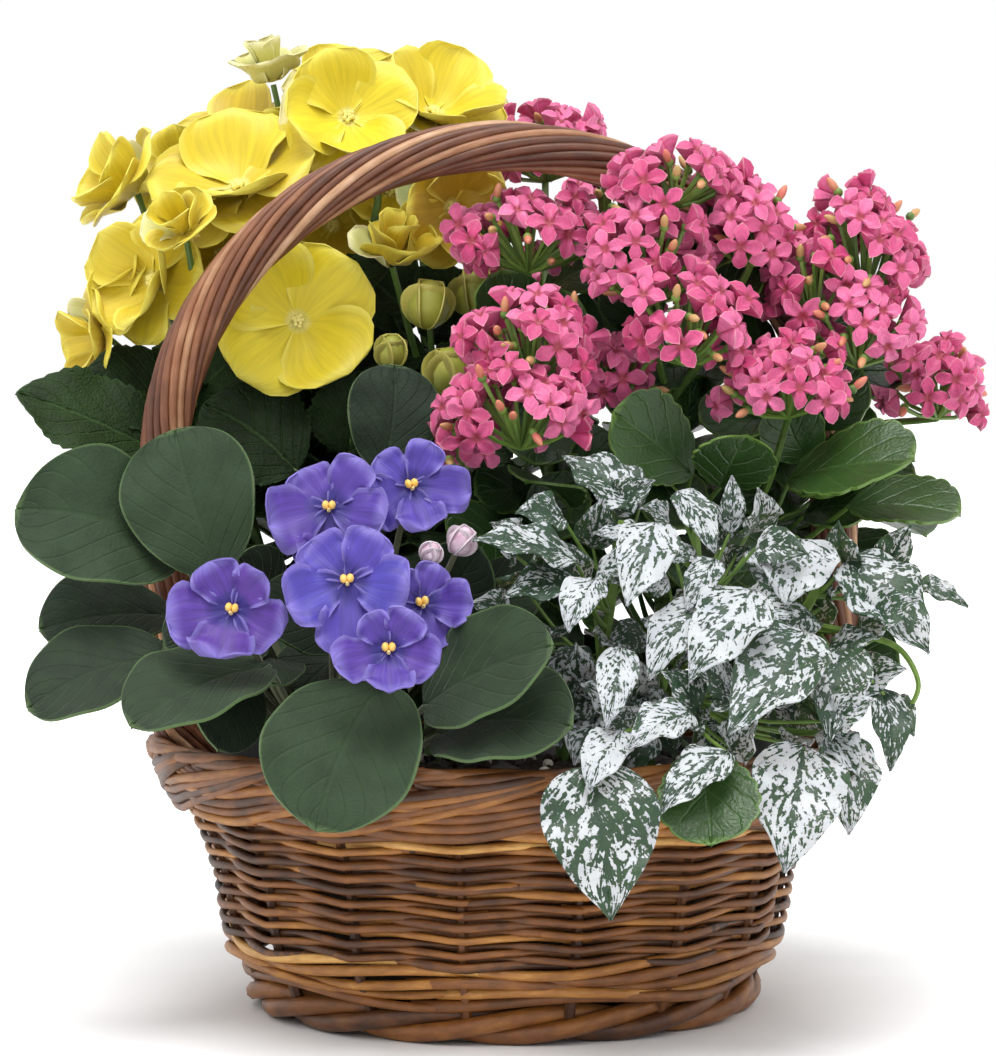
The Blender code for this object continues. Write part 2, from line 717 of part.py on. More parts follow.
def basket_border():
    """The plaited border: rod groups slant one way over its lower half and back over its upper half."""
    profile = BORDER_OUTSIDE + BORDER_INSIDE
    mesh = turned([(radius, height) for radius, height, _ in profile], 3 * RIM_GROUPS, True)
    for vert in mesh.vertices:
        radius = math.hypot(vert.co.x, vert.co.y)
        angle = math.atan2(vert.co.y, vert.co.x)
        station = min(profile, key=lambda row: abs(row[0] - radius) + abs(row[1] - vert.co.z))
        if station in BORDER_OUTSIDE:
            radius += PLAIT_RELIEF * math.cos(RIM_GROUPS * angle)
        angle += station[2] * math.tau / RIM_GROUPS
        vert.co.x = radius * math.cos(angle)
        vert.co.y = radius * math.sin(angle)
    return mesh


def basket_foot():
    """The rope border that the basket stands on, flat underneath."""
    outside = ((FOOT_OUTER, 9.5), (90.5, 3.0))
    bore = BASE_RADIUS + GAP
    inside = ((86.0, 0.0), (bore, 0.0), (bore, FOOT_HEIGHT - 2.0), (86.0, FOOT_HEIGHT))
    mesh = turned(outside + inside, 3 * FOOT_RODS, True)
    for vert in mesh.vertices:
        radius = math.hypot(vert.co.x, vert.co.y)
        if radius < outside[1][0] - 1.0:
            continue
        angle = math.atan2(vert.co.y, vert.co.x)
        radius += FOOT_RELIEF * math.cos(FOOT_RODS * angle)
        angle += (vert.co.z / FOOT_HEIGHT - 0.5) * math.tau / FOOT_RODS
        vert.co.x = radius * math.cos(angle)
        vert.co.y = radius * math.sin(angle)
    return mesh


def basket_base():
    profile = ((0.0, BASE_HEIGHT), (60.0, BASE_HEIGHT), (BASE_RADIUS, 5.0), (BASE_RADIUS, 0.0), (0.0, 0.0))
    return turned(profile, ROUND_STEPS, False)


def plastic_liner():
    floor = BASE_HEIGHT + GAP
    outer = [(radius, height) for height, radius in reversed(LINER_PROFILE)] + [(0.0, floor)]
    inner = [(0.0, floor + LINER_WALL)]
    inner += [(radius - LINER_WALL, max(height, floor + LINER_WALL)) for height, radius in LINER_PROFILE]
    return turned(inner + outer, ROUND_STEPS, False)


def potting_mix(holes):
    """The bed of soil, with a plain hole for each stem."""
    bottom = BASE_HEIGHT + LINER_WALL + 2 * GAP
    heights = (SOIL_TOP - 3.0, 40.0, bottom)
    side = [(radius_at(LINER_PROFILE, height) - LINER_WALL - SOIL_GAP, height) for height in heights]
    profile = [(0.0, SOIL_TOP), (60.0, SOIL_TOP - 0.5)] + side + [(0.0, bottom)]
    mesh = turned(profile, ROUND_STEPS, False)
    cutters = []
    for (x, y), radius in holes:
        floor = SOIL_TOP - HOLE_DEPTH - GAP
        ends = (Vector((x, y, floor)), Vector((x, y, SOIL_TOP + 10.0)))
        cutters.append(tube(ends, radius + STEM_CLEARANCE, resolution=1))
    return carved(mesh, cutters)


def handle_point(share):
    """A point on the arch from the left spring line (0) over the top to the right one (1)."""
    angle = math.pi * (1.0 - share)
    across = HANDLE_HALF_SPAN * math.cos(angle)
    return Vector((across, 0.0, HANDLE_SPRING + HANDLE_RISE * math.sin(angle)))


def handle_route(foot, leg_points):
    """The bow's centre line: up one leg, over the arch and down the other, in the handle's own plane."""
    left = [Vector((-x, 0.0, z)) for x, z in leg_points if z >= foot]
    arch = [handle_point(i / ARCH_STEPS) for i in range(ARCH_STEPS + 1)]
    right = [Vector((-p.x, 0.0, p.z)) for p in reversed(left)]
    turn = Matrix.Rotation(HANDLE_TURN, 4, "Z")
    return [turn @ point for point in left + arch + right]


def swept_ring(route, sections):
    """A loft through one closed section per route point, left open at both ends."""
    bm = bmesh.new()
    rings = []
    normal = Vector((math.sin(HANDLE_TURN), -math.cos(HANDLE_TURN), 0.0))
    for i, point in enumerate(route):
        ahead = route[min(i + 1, len(route) - 1)]
        behind = route[max(i - 1, 0)]
        along = (ahead - behind).normalized()
        out = normal.cross(along)
        ring = [bm.verts.new(point + normal * u + out * v) for u, v in sections(i / (len(route) - 1))]
        rings.append(ring)
    for ring, after in zip(rings, rings[1:]):
        for k in range(len(ring)):
            j = (k + 1) % len(ring)
            bm.faces.new((ring[k], ring[j], after[j], after[k]))
    return bm, rings


def ring_of(radius, sides):
    """The corners of a flat regular polygon round the origin."""
    angles = [k * math.tau / sides for k in range(sides)]
    return [(radius * math.cos(angle), radius * math.sin(angle)) for angle in angles]


def handle_bow():
    """The thick bow rod that carries the basket, pushed down inside the wall at both sides."""
    route = handle_route(BOW_FOOT, LEG)
    bm, rings = swept_ring(route, lambda share: ring_of(BOW_RADIUS, BOW_SIDES))
    for end in (rings[0], rings[-1]):
        bm.faces.new(end)
    bmesh.ops.triangulate(bm, faces=bm.faces[:])
    return mesh_from(bm)


def handle_wrap():
    """The rods twisted round the bow from the border over the arch, as one lobed tube."""
    route = handle_route(WRAP_FOOT, LEG)
    points = 2 * WRAP_RODS

    def lobes(share):
        twist = share * WRAP_TURNS * math.tau
        section = []
        for k in range(points):
            angle = k * math.tau / points + twist
            radius = WRAP_RADIUS if k % 2 == 0 else WRAP_RADIUS - WRAP_GROOVE
            section.append((radius * math.cos(angle), radius * math.sin(angle)))
        return section

    bm, outer = swept_ring(route, lobes)
    tool, inner = swept_ring(route, lambda share: ring_of(BOW_RADIUS + BORE_CLEARANCE, BOW_SIDES))
    copies = {}
    for ring in inner:
        for vert in ring:
            copies[vert] = bm.verts.new(vert.co)
    for face in tool.faces:
        bm.faces.new([copies[vert] for vert in face.verts])
    for lobe_ring, bore_ring in ((outer[0], inner[0]), (outer[-1], inner[-1])):
        for k in range(points):
            near = copies[bore_ring[nearest_index(lobe_ring[k], bore_ring)]]
            after = copies[bore_ring[nearest_index(lobe_ring[(k + 1) % points], bore_ring)]]
            corners = [lobe_ring[k], lobe_ring[(k + 1) % points], after]
            if near is not after:
                corners.append(near)
            bm.faces.new(corners)
    tool.free()
    bmesh.ops.triangulate(bm, faces=bm.faces[:])
    return mesh_from(bm)


def nearest_index(vert, ring):
    return min(range(len(ring)), key=lambda k: (ring[k].co - vert.co).length)


# ---------------------------------------------------------------- plants


def petalled(bloom, count, half_width, outline, lifts):
    """Petals pulled out of the sides of a small prism, with the lifts taken in turn round it.

    The steeper a petal stands, the narrower it is, so that it passes beside its neighbours.
    """
    bm = bmesh.new()
    bmesh.ops.create_cone(
        bm, cap_ends=True, segments=count, radius1=HEART_RADIUS, radius2=HEART_RADIUS, depth=PETAL_THICK
    )
    bm.normal_update()
    top = max(bm.faces, key=lambda face: face.normal.z)
    sides = [face for face in bm.faces if abs(face.normal.z) < 0.5]
    sides.sort(key=lambda face: math.atan2(face.normal.y, face.normal.x))
    for k, side in enumerate(sides):
        out = side.normal.copy()
        across = Vector((-out.y, out.x, 0.0))
        tilt = math.radians(lifts[k % len(lifts)])
        lean = Vector((0.0, 0.0, math.cos(tilt))) - out * math.sin(tilt)
        for share, half in outline:
            side = bmesh.ops.extrude_discrete_faces(bm, faces=[side])["faces"][0]
            middle = out * (math.cos(tilt) * share ** (1.0 - CUP_SPREAD * math.sin(tilt)))
            middle.z = math.sin(tilt) * share**CUP_RISE
            centre = side.calc_center_median()
            for vert in side.verts:
                offset = vert.co - centre
                width = across * math.copysign(half * half_width * math.cos(tilt), offset.dot(across))
                thickness = lean * math.copysign(PETAL_THICK / 2.0, offset.dot(lean))
                vert.co = middle * bloom.radius + width + thickness
    boss = bmesh.ops.extrude_discrete_faces(bm, faces=[top])["faces"][0]
    for vert in boss.verts:
        vert.co = vert.co * 0.6 + Vector((0.0, 0.0, HEART_BOSS))
    bmesh.ops.transform(bm, matrix=frame_at(bloom.centre, bloom.axis, bloom.spin), verts=bm.verts[:])
    bmesh.ops.triangulate(bm, faces=bm.faces[:])
    return mesh_from(bm)


def begonia_bloom(bloom):
    """A four-petalled bloom: two petals, and two raised over them."""
    outline = BEGONIA_PETAL if bloom.radius >= LARGE_BLOOM else SMALL_BEGONIA_PETAL
    lifts = (bloom.lift, bloom.lift + SECOND_PAIR_LIFT)
    return petalled(bloom, 4, PETAL_WIDTH * bloom.radius, outline, lifts)


def floret_dome():
    """A dome of four-pointed stars on short necks, at the upper corners of a cuboctahedron."""
    bm = bmesh.new()
    bmesh.ops.create_cube(bm, size=2.0)
    corners = []
    for _ in range(2):
        corners = [vert.co.normalized() for vert in bm.verts]
        bmesh.ops.bevel(
            bm, geom=bm.verts[:], offset=50, offset_type="PERCENT", affect="VERTICES", segments=1
        )
        bmesh.ops.remove_doubles(bm, verts=bm.verts[:], dist=0.0001)
    for vert in bm.verts:
        vert.co = vert.co.normalized() * DOME_CORE
    bm.normal_update()
    upper = [corner for corner in corners if corner.z > -0.5]
    necks = [face for face in bm.faces if max(face.normal.dot(corner) for corner in upper) > 0.99]
    stars = bmesh.ops.extrude_discrete_faces(bm, faces=necks)["faces"]
    for star in stars:
        outward = star.normal.copy()
        middle = star.calc_center_median()
        tips = star.verts[:]
        bmesh.ops.subdivide_edges(bm, edges=star.edges[:], cuts=1)
        for vert in star.verts:
            away = (vert.co - middle).normalized()
            if vert in tips:
                vert.co = outward + away * STAR_TIP
            else:
                vert.co = outward * STAR_DISH + away * STAR_NOTCH
    return bm


def kalanchoe_head(heads):
    """Domes of star florets, joined where they grow into each other."""
    meshes = []
    for head in heads:
        bm = floret_dome()
        spin = Matrix.Rotation(math.radians(head.centre[0] * 7.0), 4, "Z")
        size = Matrix.Diagonal((*head.size, 1.0))
        place = Matrix.Translation(Vector(head.centre)) @ size @ spin
        bmesh.ops.transform(bm, matrix=place, verts=bm.verts[:])
        bmesh.ops.triangulate(bm, faces=bm.faces[:])
        meshes.append(mesh_from(bm))
    return fused(meshes) if len(meshes) > 1 else meshes[0]


def head_seat(name):
    """Where the stalk of a head ends: just under the flat bottom of its first dome's core."""
    head = KALANCHOE_HEADS[name][0]
    return Vector(head.centre) - Vector((0.0, 0.0, DOME_FLOOR * head.size[2] + DOME_SEAT))


def bloom_seat(bloom):
    """Where a bloom's stalk ends, just behind its middle."""
    return Vector(bloom.centre) - Vector(bloom.axis).normalized() * SEAT_DEPTH


def violet_flower(bloom):
    """Five rounded lobes joined in one flat flower, with a raised eye."""
    return petalled(bloom, 5, 0.4 * bloom.radius, VIOLET_PETAL, (bloom.lift,))


def stalk_to(route, end, via, radius, tip_radius, drop=0.0):
    """A stalk that leaves a stem at its nearest point and ends at the given one."""
    start = nearest_on(route, end - Vector((0.0, 0.0, drop)))
    return tube([start] + bends_of(start, end, via) + [end], radius, tip_radius)


def leafy_stem(stem, outline, radius, seats):
    """One plant stem with its leaves, the stalks of what it carries, and its green buds."""
    route = [Vector(point) for point in stem.route]
    top = route[-1] + (route[-1] - route[-2]).normalized() * SINK
    meshes = [tube(route[:-1] + [top], radius, 0.7 * radius, resolution=int(radius > SPLASH_STEM))]
    for leaf in stem.leaves:
        drop = LEAF_DROP if leaf.base[2] > LOW_LEAF else 0.0
        start = nearest_on(smooth_route(stem.route, 4), Vector(leaf.base) - Vector((0.0, 0.0, drop)))
        meshes.append(stalked_blade(leaf, start, outline, 0.45 * radius, False))
    for seat, via in seats:
        meshes.append(stalk_to(route, seat, via, 0.5 * radius, 0.4 * radius, STALK_DROP))
    for centre, half_height in stem.buds:
        meshes.append(ball(Vector(centre), half_height, (0.85, 0.85, 1.1)))
        meshes.append(stalk_to(route, Vector(centre), (), 0.5 * radius, 0.4 * radius, STALK_DROP))
    return fused(meshes)


def violet_rosette():
    """The African violet's crown with its leaves, and the stalks of its flowers and buds."""
    crown = Vector(VIOLET_CROWN)
    low = Vector((crown.x, crown.y, SOIL_TOP - HOLE_DEPTH))
    meshes = [tube([low, crown], VIOLET_CROWN_RADIUS, VIOLET_CROWN_RADIUS - 1.0, resolution=1)]
    for leaf in VIOLET_LEAVES:
        meshes.append(stalked_blade(leaf, crown, ROUND_LEAF, 1.8, True))
    for flower in VIOLET_FLOWERS:
        meshes.append(stalk_to([crown], bloom_seat(flower), flower.via, 1.4, 1.1))
    for centre, half_height in VIOLET_BUDS:
        meshes.append(ball(Vector(centre), half_height, (0.8, 0.8, 1.1)))
        meshes.append(stalk_to([crown], Vector(centre), (), 1.3, 1.0))
    return fused(meshes)


def build_basket(parts, holes):
    willow = make_material("brown willow", WILLOW, 0.55)
    light = make_material("buff willow", WILLOW_LIGHT, 0.5)
    finish("basket_base", basket_base(), willow, parts)
    finish("basket_foot", basket_foot(), willow, parts)
    finish("basket_wall", basket_wall(), willow, parts)
    finish("basket_border", basket_border(), willow, parts)
    finish("handle_bow", handle_bow(), willow, parts)
    finish("handle_wrap", handle_wrap(), light, parts)
    finish("plastic_liner", plastic_liner(), make_material("black liner film", BLACK_PLASTIC, 0.4), parts)
    finish("potting_mix", potting_mix(holes), make_material("moist potting mix", PEAT, 0.95), parts)


def build_begonia(parts):
    green = make_material("begonia leaf", LEAF_GREEN, 0.45)
    yellow = make_material("begonia petal", YELLOW, 0.5)
    blooms = {bloom.name: bloom for bloom in BEGONIA_BLOOMS}
    for stem in BEGONIA_STEMS:
        seats = [(bloom_seat(blooms[name]), blooms[name].via) for name in stem.seats]
        finish(stem.name, leafy_stem(stem, TOOTHED_LEAF, BEGONIA_STEM, seats), green, parts)
    for bloom in BEGONIA_BLOOMS:
        finish(bloom.name, begonia_bloom(bloom), yellow, parts)


def build_kalanchoe(parts):
    green = make_material("kalanchoe leaf", KALANCHOE_GREEN, 0.35)
    pink = make_material("kalanchoe floret", PINK, 0.55)
    for stem in KALANCHOE_STEMS:
        seats = [(head_seat(name), KALANCHOE_HEADS[name][0].via) for name in stem.seats]
        finish(stem.name, leafy_stem(stem, SCALLOPED_LEAF, KALANCHOE_STEM, seats), green, parts)
    for name, heads in KALANCHOE_HEADS.items():
        finish(name, kalanchoe_head(heads), pink, parts)


def build_violet(parts):
    green = make_material("violet leaf", VIOLET_GREEN, 0.75)
    blue = make_material("violet petal", BLUE_VIOLET, 0.6)
    finish("violet_rosette", violet_rosette(), green, parts)
    for flower in VIOLET_FLOWERS:
        finish(flower.name, violet_flower(flower), blue, parts)


def build_splash(parts):
    white = make_material("splashed leaf", SPLASH_GREEN, 0.5)
    for stem in SPLASH_STEMS:
        finish(stem.name, leafy_stem(stem, POINTED_LEAF, SPLASH_STEM, ()), white, parts)


def main():
    clear_scene()
    parts = make_collection("flower basket arrangement")
    holes = [(VIOLET_CROWN[:2], VIOLET_CROWN_RADIUS)]
    plants = ((BEGONIA_STEMS, BEGONIA_STEM), (KALANCHOE_STEMS, KALANCHOE_STEM), (SPLASH_STEMS, SPLASH_STEM))
    for stems, radius in plants:
        holes += [(stem.route[0][:2], radius) for stem in stems]
    build_basket(parts, holes)
    build_begonia(parts)
    build_kalanchoe(parts)
    build_violet(parts)
    build_splash(parts)


main()
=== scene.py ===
"""Looks of a round willow basket planted with begonia, kalanchoe, African violet and polka-dot plant.

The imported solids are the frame. Each of them is replaced by a finer piece that keeps its form: rods woven,
plaited and twisted for the basket, and petals, florets, veined leaves and stalks for the four plants. The
tables are in millimetres, in the frame of the solids: +X to the right, +Y to the back and +Z up.
"""

import logging
import math
import random
from collections.abc import Callable, Iterable, Sequence
from dataclasses import dataclass, replace
from enum import Enum

import bpy
import numpy as np
from mathutils import Matrix, Vector


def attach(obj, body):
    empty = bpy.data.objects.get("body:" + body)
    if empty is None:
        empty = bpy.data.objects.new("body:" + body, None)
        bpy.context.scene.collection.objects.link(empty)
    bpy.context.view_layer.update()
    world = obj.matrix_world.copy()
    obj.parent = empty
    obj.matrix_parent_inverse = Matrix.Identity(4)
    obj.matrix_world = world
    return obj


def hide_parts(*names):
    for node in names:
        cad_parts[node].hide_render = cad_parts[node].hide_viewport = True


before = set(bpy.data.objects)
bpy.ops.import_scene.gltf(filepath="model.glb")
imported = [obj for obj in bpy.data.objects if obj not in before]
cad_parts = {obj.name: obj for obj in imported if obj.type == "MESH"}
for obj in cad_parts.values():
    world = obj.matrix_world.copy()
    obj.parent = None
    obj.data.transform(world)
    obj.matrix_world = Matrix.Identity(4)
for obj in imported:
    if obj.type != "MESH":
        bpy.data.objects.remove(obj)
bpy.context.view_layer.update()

LOG = logging.getLogger("flower_basket")
MM = 0.001
GOLDEN_ANGLE = math.pi * (3.0 - math.sqrt(5.0))
# Edges that turn less than this are shaded as part of a curve.
SMOOTH_BELOW = math.radians(50.0)
# How far below its flower a stalk leaves the stem, in millimetres.
STALK_DROP = 30.0
# The holes for the stems, from their floor to the top of the soil, in millimetres.
HOLE_FLOOR, HOLE_RIM = 58.0, 90.0

BLADE_MARKS = ("along", "across", "tone")
# A noise scale counts spots in a metre, so 1000 / scale is the size of a spot in millimetres.
LEAF_MOTTLE, ROD_BLOTCH = 110.0, 90.0
SPLASH_SPECK, SPLASH_BLOT, SPLASH_BEND = 430.0, 120.0, 160.0
# The hairs and cells of a leaf are finer than this, and are drawn about a millimetre wide to show.
LEAF_FUZZ, SPLASH_GRAIN = 900.0, 700.0

Point = tuple[float, float, float]
Settings = dict[object, object]
Source = bpy.types.Node | bpy.types.NodeSocket
Pairs = tuple[tuple[float, float], ...]
SMOOTH: Settings = {"interpolation_type": "SMOOTHSTEP"}


# ---------------------------------------------------------------- materials


def linear(code: str) -> tuple[float, float, float, float]:
    """Turns an sRGB hex code into the linear colour that a shader takes.

    Args:
        code: Six hex digits after a hash sign.

    Returns:
        Red, green, blue and an alpha of one.
    """
    shares = [int(code[i : i + 2], 16) / 255.0 for i in (1, 3, 5)]
    channels = [c / 12.92 if c <= 0.04045 else ((c + 0.055) / 1.055) ** 2.4 for c in shares]
    return (*channels, 1.0)


class Graph:
    """The node tree of one material, with a Principled shader at its end."""

    def __init__(self, name: str) -> None:
        """Makes a material of that name with an empty tree.

        Args:
            name: What the real material is.
        """
        self.material = bpy.data.materials.new(name)
        self.material.use_nodes = True
        self.tree = self.material.node_tree
        self.tree.nodes.clear()
        self.shader = self.add("BsdfPrincipled")
        self.add("OutputMaterial", links={"Surface": self.shader})

    def add(
        self, kind: str, settings: Settings | None = None, links: Settings | None = None
    ) -> bpy.types.Node:
        """Adds one node with its settings and links.

        Args:
            kind: The node's type without its ShaderNode prefix.
            settings: Values by the name of an attribute or input; "stops" holds a ramp's colours.
            links: Nodes, or their output sockets, by the input that they feed.

        Returns:
            The new node.
        """
        node = self.tree.nodes.new("ShaderNode" + kind)
        for key, value in (settings or {}).items():
            if key == "stops":
                elements = node.color_ramp.elements
                while len(elements) < len(value):
                    elements.new(1.0)
                for element, (place, code) in zip(elements, value):
                    element.position = place
                    element.color = linear(code)
            elif isinstance(key, str) and hasattr(node, key):
                setattr(node, key, value)
            else:
                node.inputs[key].default_value = value
        for key, source in (links or {}).items():
            socket = source.outputs[0] if isinstance(source, bpy.types.Node) else source
            self.tree.links.new(socket, node.inputs[key])
        return node

    def mark(self, name: str) -> bpy.types.NodeSocket:
        """Reads one of the piece's own number attributes, such as along, across or tone."""
        return self.add("Attribute", {"attribute_name": name}).outputs["Fac"]

    def spot(self) -> bpy.types.NodeSocket:
        """Reads the place on the piece, in metres."""
        return self.add("TexCoord").outputs["Object"]

    def drift(self, noise: Source, reach: float, tone: Source) -> bpy.types.Node:
        """Moves a tone up and down with a noise, by half the reach each way."""
        spread = self.add("Math", {"operation": "MULTIPLY_ADD", 1: reach, 2: -0.5 * reach}, {0: noise})
        return self.add("Math", {"operation": "ADD", "use_clamp": True}, {0: spread, 1: tone})

    def veins(
        self, side: Source, level: Source, count: float, midrib: Point, lateral: Point
    ) -> bpy.types.Node:
        """Draws the midrib of a blade and its side veins.

        Args:
            side: The share across the blade, without its sign.
            level: The share along it at which a side vein leaves the midrib.
            count: How many side veins the blade's length has.
            midrib: The share across at which the midrib starts to fade, that at which it ends, its strength.
            lateral: The same for a side vein, in shares of the distance between two.

        Returns:
            The node that gives the stronger of the two at each place.
        """
        repeat = self.add("Math", {"operation": "MULTIPLY", 1: count}, {0: level})
        away = self.add("Math", {"operation": "PINGPONG", 1: 0.5}, {0: repeat})
        drawn = []
        for source, (start, end, strength) in ((side, midrib), (away, lateral)):
            fade = {"From Min": start, "From Max": end, "To Min": strength, "To Max": 0.0}
            drawn.append(self.add("MapRange", SMOOTH | fade, {"Value": source}))
        return self.add("Math", {"operation": "MAXIMUM"}, {0: drawn[0], 1: drawn[1]})

    def finish(
        self, colour: bpy.types.Node, height: bpy.types.Node, relief: float, **sockets: object
    ) -> bpy.types.Material:
        """Feeds the shader.

        Args:
            colour: The node that gives the base colour.
            height: The node that gives the relief.
            relief: How deep that relief is, in millimetres.
            **sockets: Constants for the shader's own sockets, with _ for each space in a name.

        Returns:
            The finished material.
        """
        bump = self.add("Bump", {"Strength": 1.0, "Distance": relief * MM}, {"Height": height})
        self.tree.links.new(colour.outputs[0], self.shader.inputs["Base Color"])
        self.tree.links.new(bump.outputs[0], self.shader.inputs["Normal"])
        for name, value in sockets.items():
            self.shader.inputs[name.replace("_", " ")].default_value = value
        return self.material


@dataclass(frozen=True)
class WillowFinish:
    """Willow rod, stained and thinly varnished: streaks run along it and it has a soft gloss."""

    name: str
    tones: tuple[tuple[float, str], ...]
    roughness: float = 0.5

    def material(self) -> bpy.types.Material:
        """Builds the material: each rod has its own tone, broken by streaks along its length."""
        graph = Graph(self.name)
        tone = graph.mark("tone")
        # The rods' own map counts centimetres along them and one turn round them. The tone moves it, so
        # that no two rods show the same streaks.
        shift = graph.add("Math", {"operation": "MULTIPLY", 1: 47.0}, {0: tone})
        route = graph.add("UVMap", {"uv_map": "UVMap"})
        place = graph.add("Mapping", {"Scale": (0.9, 4.0, 1.0)}, {"Vector": route, "Location": shift})
        streak = graph.add("TexNoise", {"Scale": 1.0, "Detail": 4.0, "Roughness": 0.62}, {"Vector": place})
        blotch = graph.add("TexNoise", {"Scale": ROD_BLOTCH, "Detail": 2.0}, {"Vector": graph.spot()})
        wide = graph.add("Math", {"operation": "MULTIPLY_ADD", 1: 0.62, 2: -0.31}, {0: streak})
        mixed = graph.add("Math", {"operation": "ADD"}, {0: wide, 1: tone})
        colour = graph.add("ValToRGB", {"stops": self.tones}, {"Fac": graph.drift(blotch, 0.4, mixed)})
        gloss = {"Roughness": self.roughness, "Coat_Weight": 0.06, "Coat_Roughness": 0.3}
        return graph.finish(colour, streak, 0.35, **gloss)


@dataclass(frozen=True)
class PetalFinish:
    """A thin petal: light passes a little way into it, and fine streaks run out from its heart."""

    name: str
    heart: str
    body: str
    edge: str
    other: str
    heart_end: float = 0.2
    streaks: float = 0.25
    roughness: float = 0.5
    inside: float = 0.22
    rim_start: float = 0.8

    def material(self) -> bpy.types.Material:
        """Builds the material: heart to body along the petal, an edge colour, and a second colour by tone."""
        graph = Graph(self.name)
        along, across, tone = map(graph.mark, BLADE_MARKS)
        body = graph.add("MixRGB", {"Color1": linear(self.body), "Color2": linear(self.other)}, {"Fac": tone})
        span = {"From Min": 0.4 * self.heart_end, "From Max": self.heart_end}
        heart = graph.add("MapRange", SMOOTH | span, {"Value": along})
        inner = graph.add("MixRGB", {"Color1": linear(self.heart)}, {"Fac": heart, "Color2": body})
        side = graph.add("Math", {"operation": "ABSOLUTE"}, {0: across})
        outer = graph.add("Math", {"operation": "MAXIMUM"}, {0: side, 1: along})
        span = {"From Min": self.rim_start, "From Max": 1.0, "To Max": 0.8}
        rim = graph.add("MapRange", SMOOTH | span, {"Value": outer})
        edged = graph.add("MixRGB", {"Color2": linear(self.edge)}, {"Fac": rim, "Color1": inner})
        # Nine streaks or so lie side by side in half a petal, and run nearly its whole length.
        fan = graph.add("CombineXYZ", links={"X": across, "Y": along, "Z": tone})
        place = graph.add("Mapping", {"Scale": (9.0, 1.2, 13.0)}, {"Vector": fan})
        streak = graph.add("TexNoise", {"Scale": 1.0, "Detail": 3.0, "Roughness": 0.6}, {"Vector": place})
        span = {"From Min": 0.35, "From Max": 0.7, "To Min": 1.0 - self.streaks, "To Max": 1.0}
        dark = graph.add("MapRange", span, {"Value": streak})
        multiply = {"blend_type": "MULTIPLY", "Fac": 1.0}
        colour = graph.add("MixRGB", multiply, {"Color1": edged, "Color2": dark})
        thin = {"Subsurface_Weight": self.inside, "Subsurface_Radius": (0.004, 0.003, 0.002)}
        return graph.finish(colour, streak, 0.25, Roughness=self.roughness, Sheen_Weight=0.08, **thin)


@dataclass(frozen=True)
class LeafFinish:
    """A green leaf: paler veins sunk in it, mottled green between them, and a rim colour round its edge."""

    name: str
    green: str
    other: str
    vein: str
    rim: str
    vein_share: float
    rim_start: float
    relief: float
    roughness: float
    veins: float = 6.0
    slant: float = 0.5
    rim_share: float = 0.6
    sheen: float = 0.0
    gloss: float = 0.5

    def material(self) -> bpy.types.Material:
        """Builds the material: mottled green, midrib and side veins, rim, and a pebbled relief."""
        graph = Graph(self.name)
        along, across, tone = map(graph.mark, BLADE_MARKS)
        spot = graph.spot()
        mottle = graph.add("TexNoise", {"Scale": LEAF_MOTTLE, "Detail": 3.0}, {"Vector": spot})
        greens = {"Color1": linear(self.green), "Color2": linear(self.other)}
        body = graph.add("MixRGB", greens, {"Fac": graph.drift(mottle, 0.9, tone)})
        side = graph.add("Math", {"operation": "ABSOLUTE"}, {0: across})
        swept = graph.add("Math", {"operation": "MULTIPLY", 1: -self.slant}, {0: side})
        level = graph.add("Math", {"operation": "ADD"}, {0: along, 1: swept})
        veins = graph.veins(side, level, self.veins, (0.015, 0.07, 1.0), (0.0, 0.11, 0.8))
        share = graph.add("Math", {"operation": "MULTIPLY", 1: self.vein_share}, {0: veins})
        veined = graph.add("MixRGB", {"Color2": linear(self.vein)}, {"Fac": share, "Color1": body})
        # The rim colour fills a band round the edge. On the violet leaf that band is painted sheen, the light
        # caught by its hairs.
        outer = graph.add("Math", {"operation": "MAXIMUM"}, {0: side, 1: along})
        span = {"From Min": self.rim_start, "From Max": 1.0, "To Max": self.rim_share}
        rim = graph.add("MapRange", span, {"Value": outer})
        colour = graph.add("MixRGB", {"Color2": linear(self.rim)}, {"Fac": rim, "Color1": veined})
        grain = graph.add("TexNoise", {"Scale": LEAF_FUZZ, "Detail": 2.0}, {"Vector": spot})
        height = graph.add("Math", {"operation": "MULTIPLY_ADD", 1: -1.0}, {0: veins, 2: grain})
        hairs = {"Sheen_Weight": self.sheen, "Sheen_Roughness": 0.4}
        gloss = {"Roughness": self.roughness, "Specular_IOR_Level": self.gloss}
        thin = {"Subsurface_Weight": 0.05, "Subsurface_Radius": (0.002, 0.003, 0.001)}
        return graph.finish(colour, height, self.relief, **hairs, **gloss, **thin)


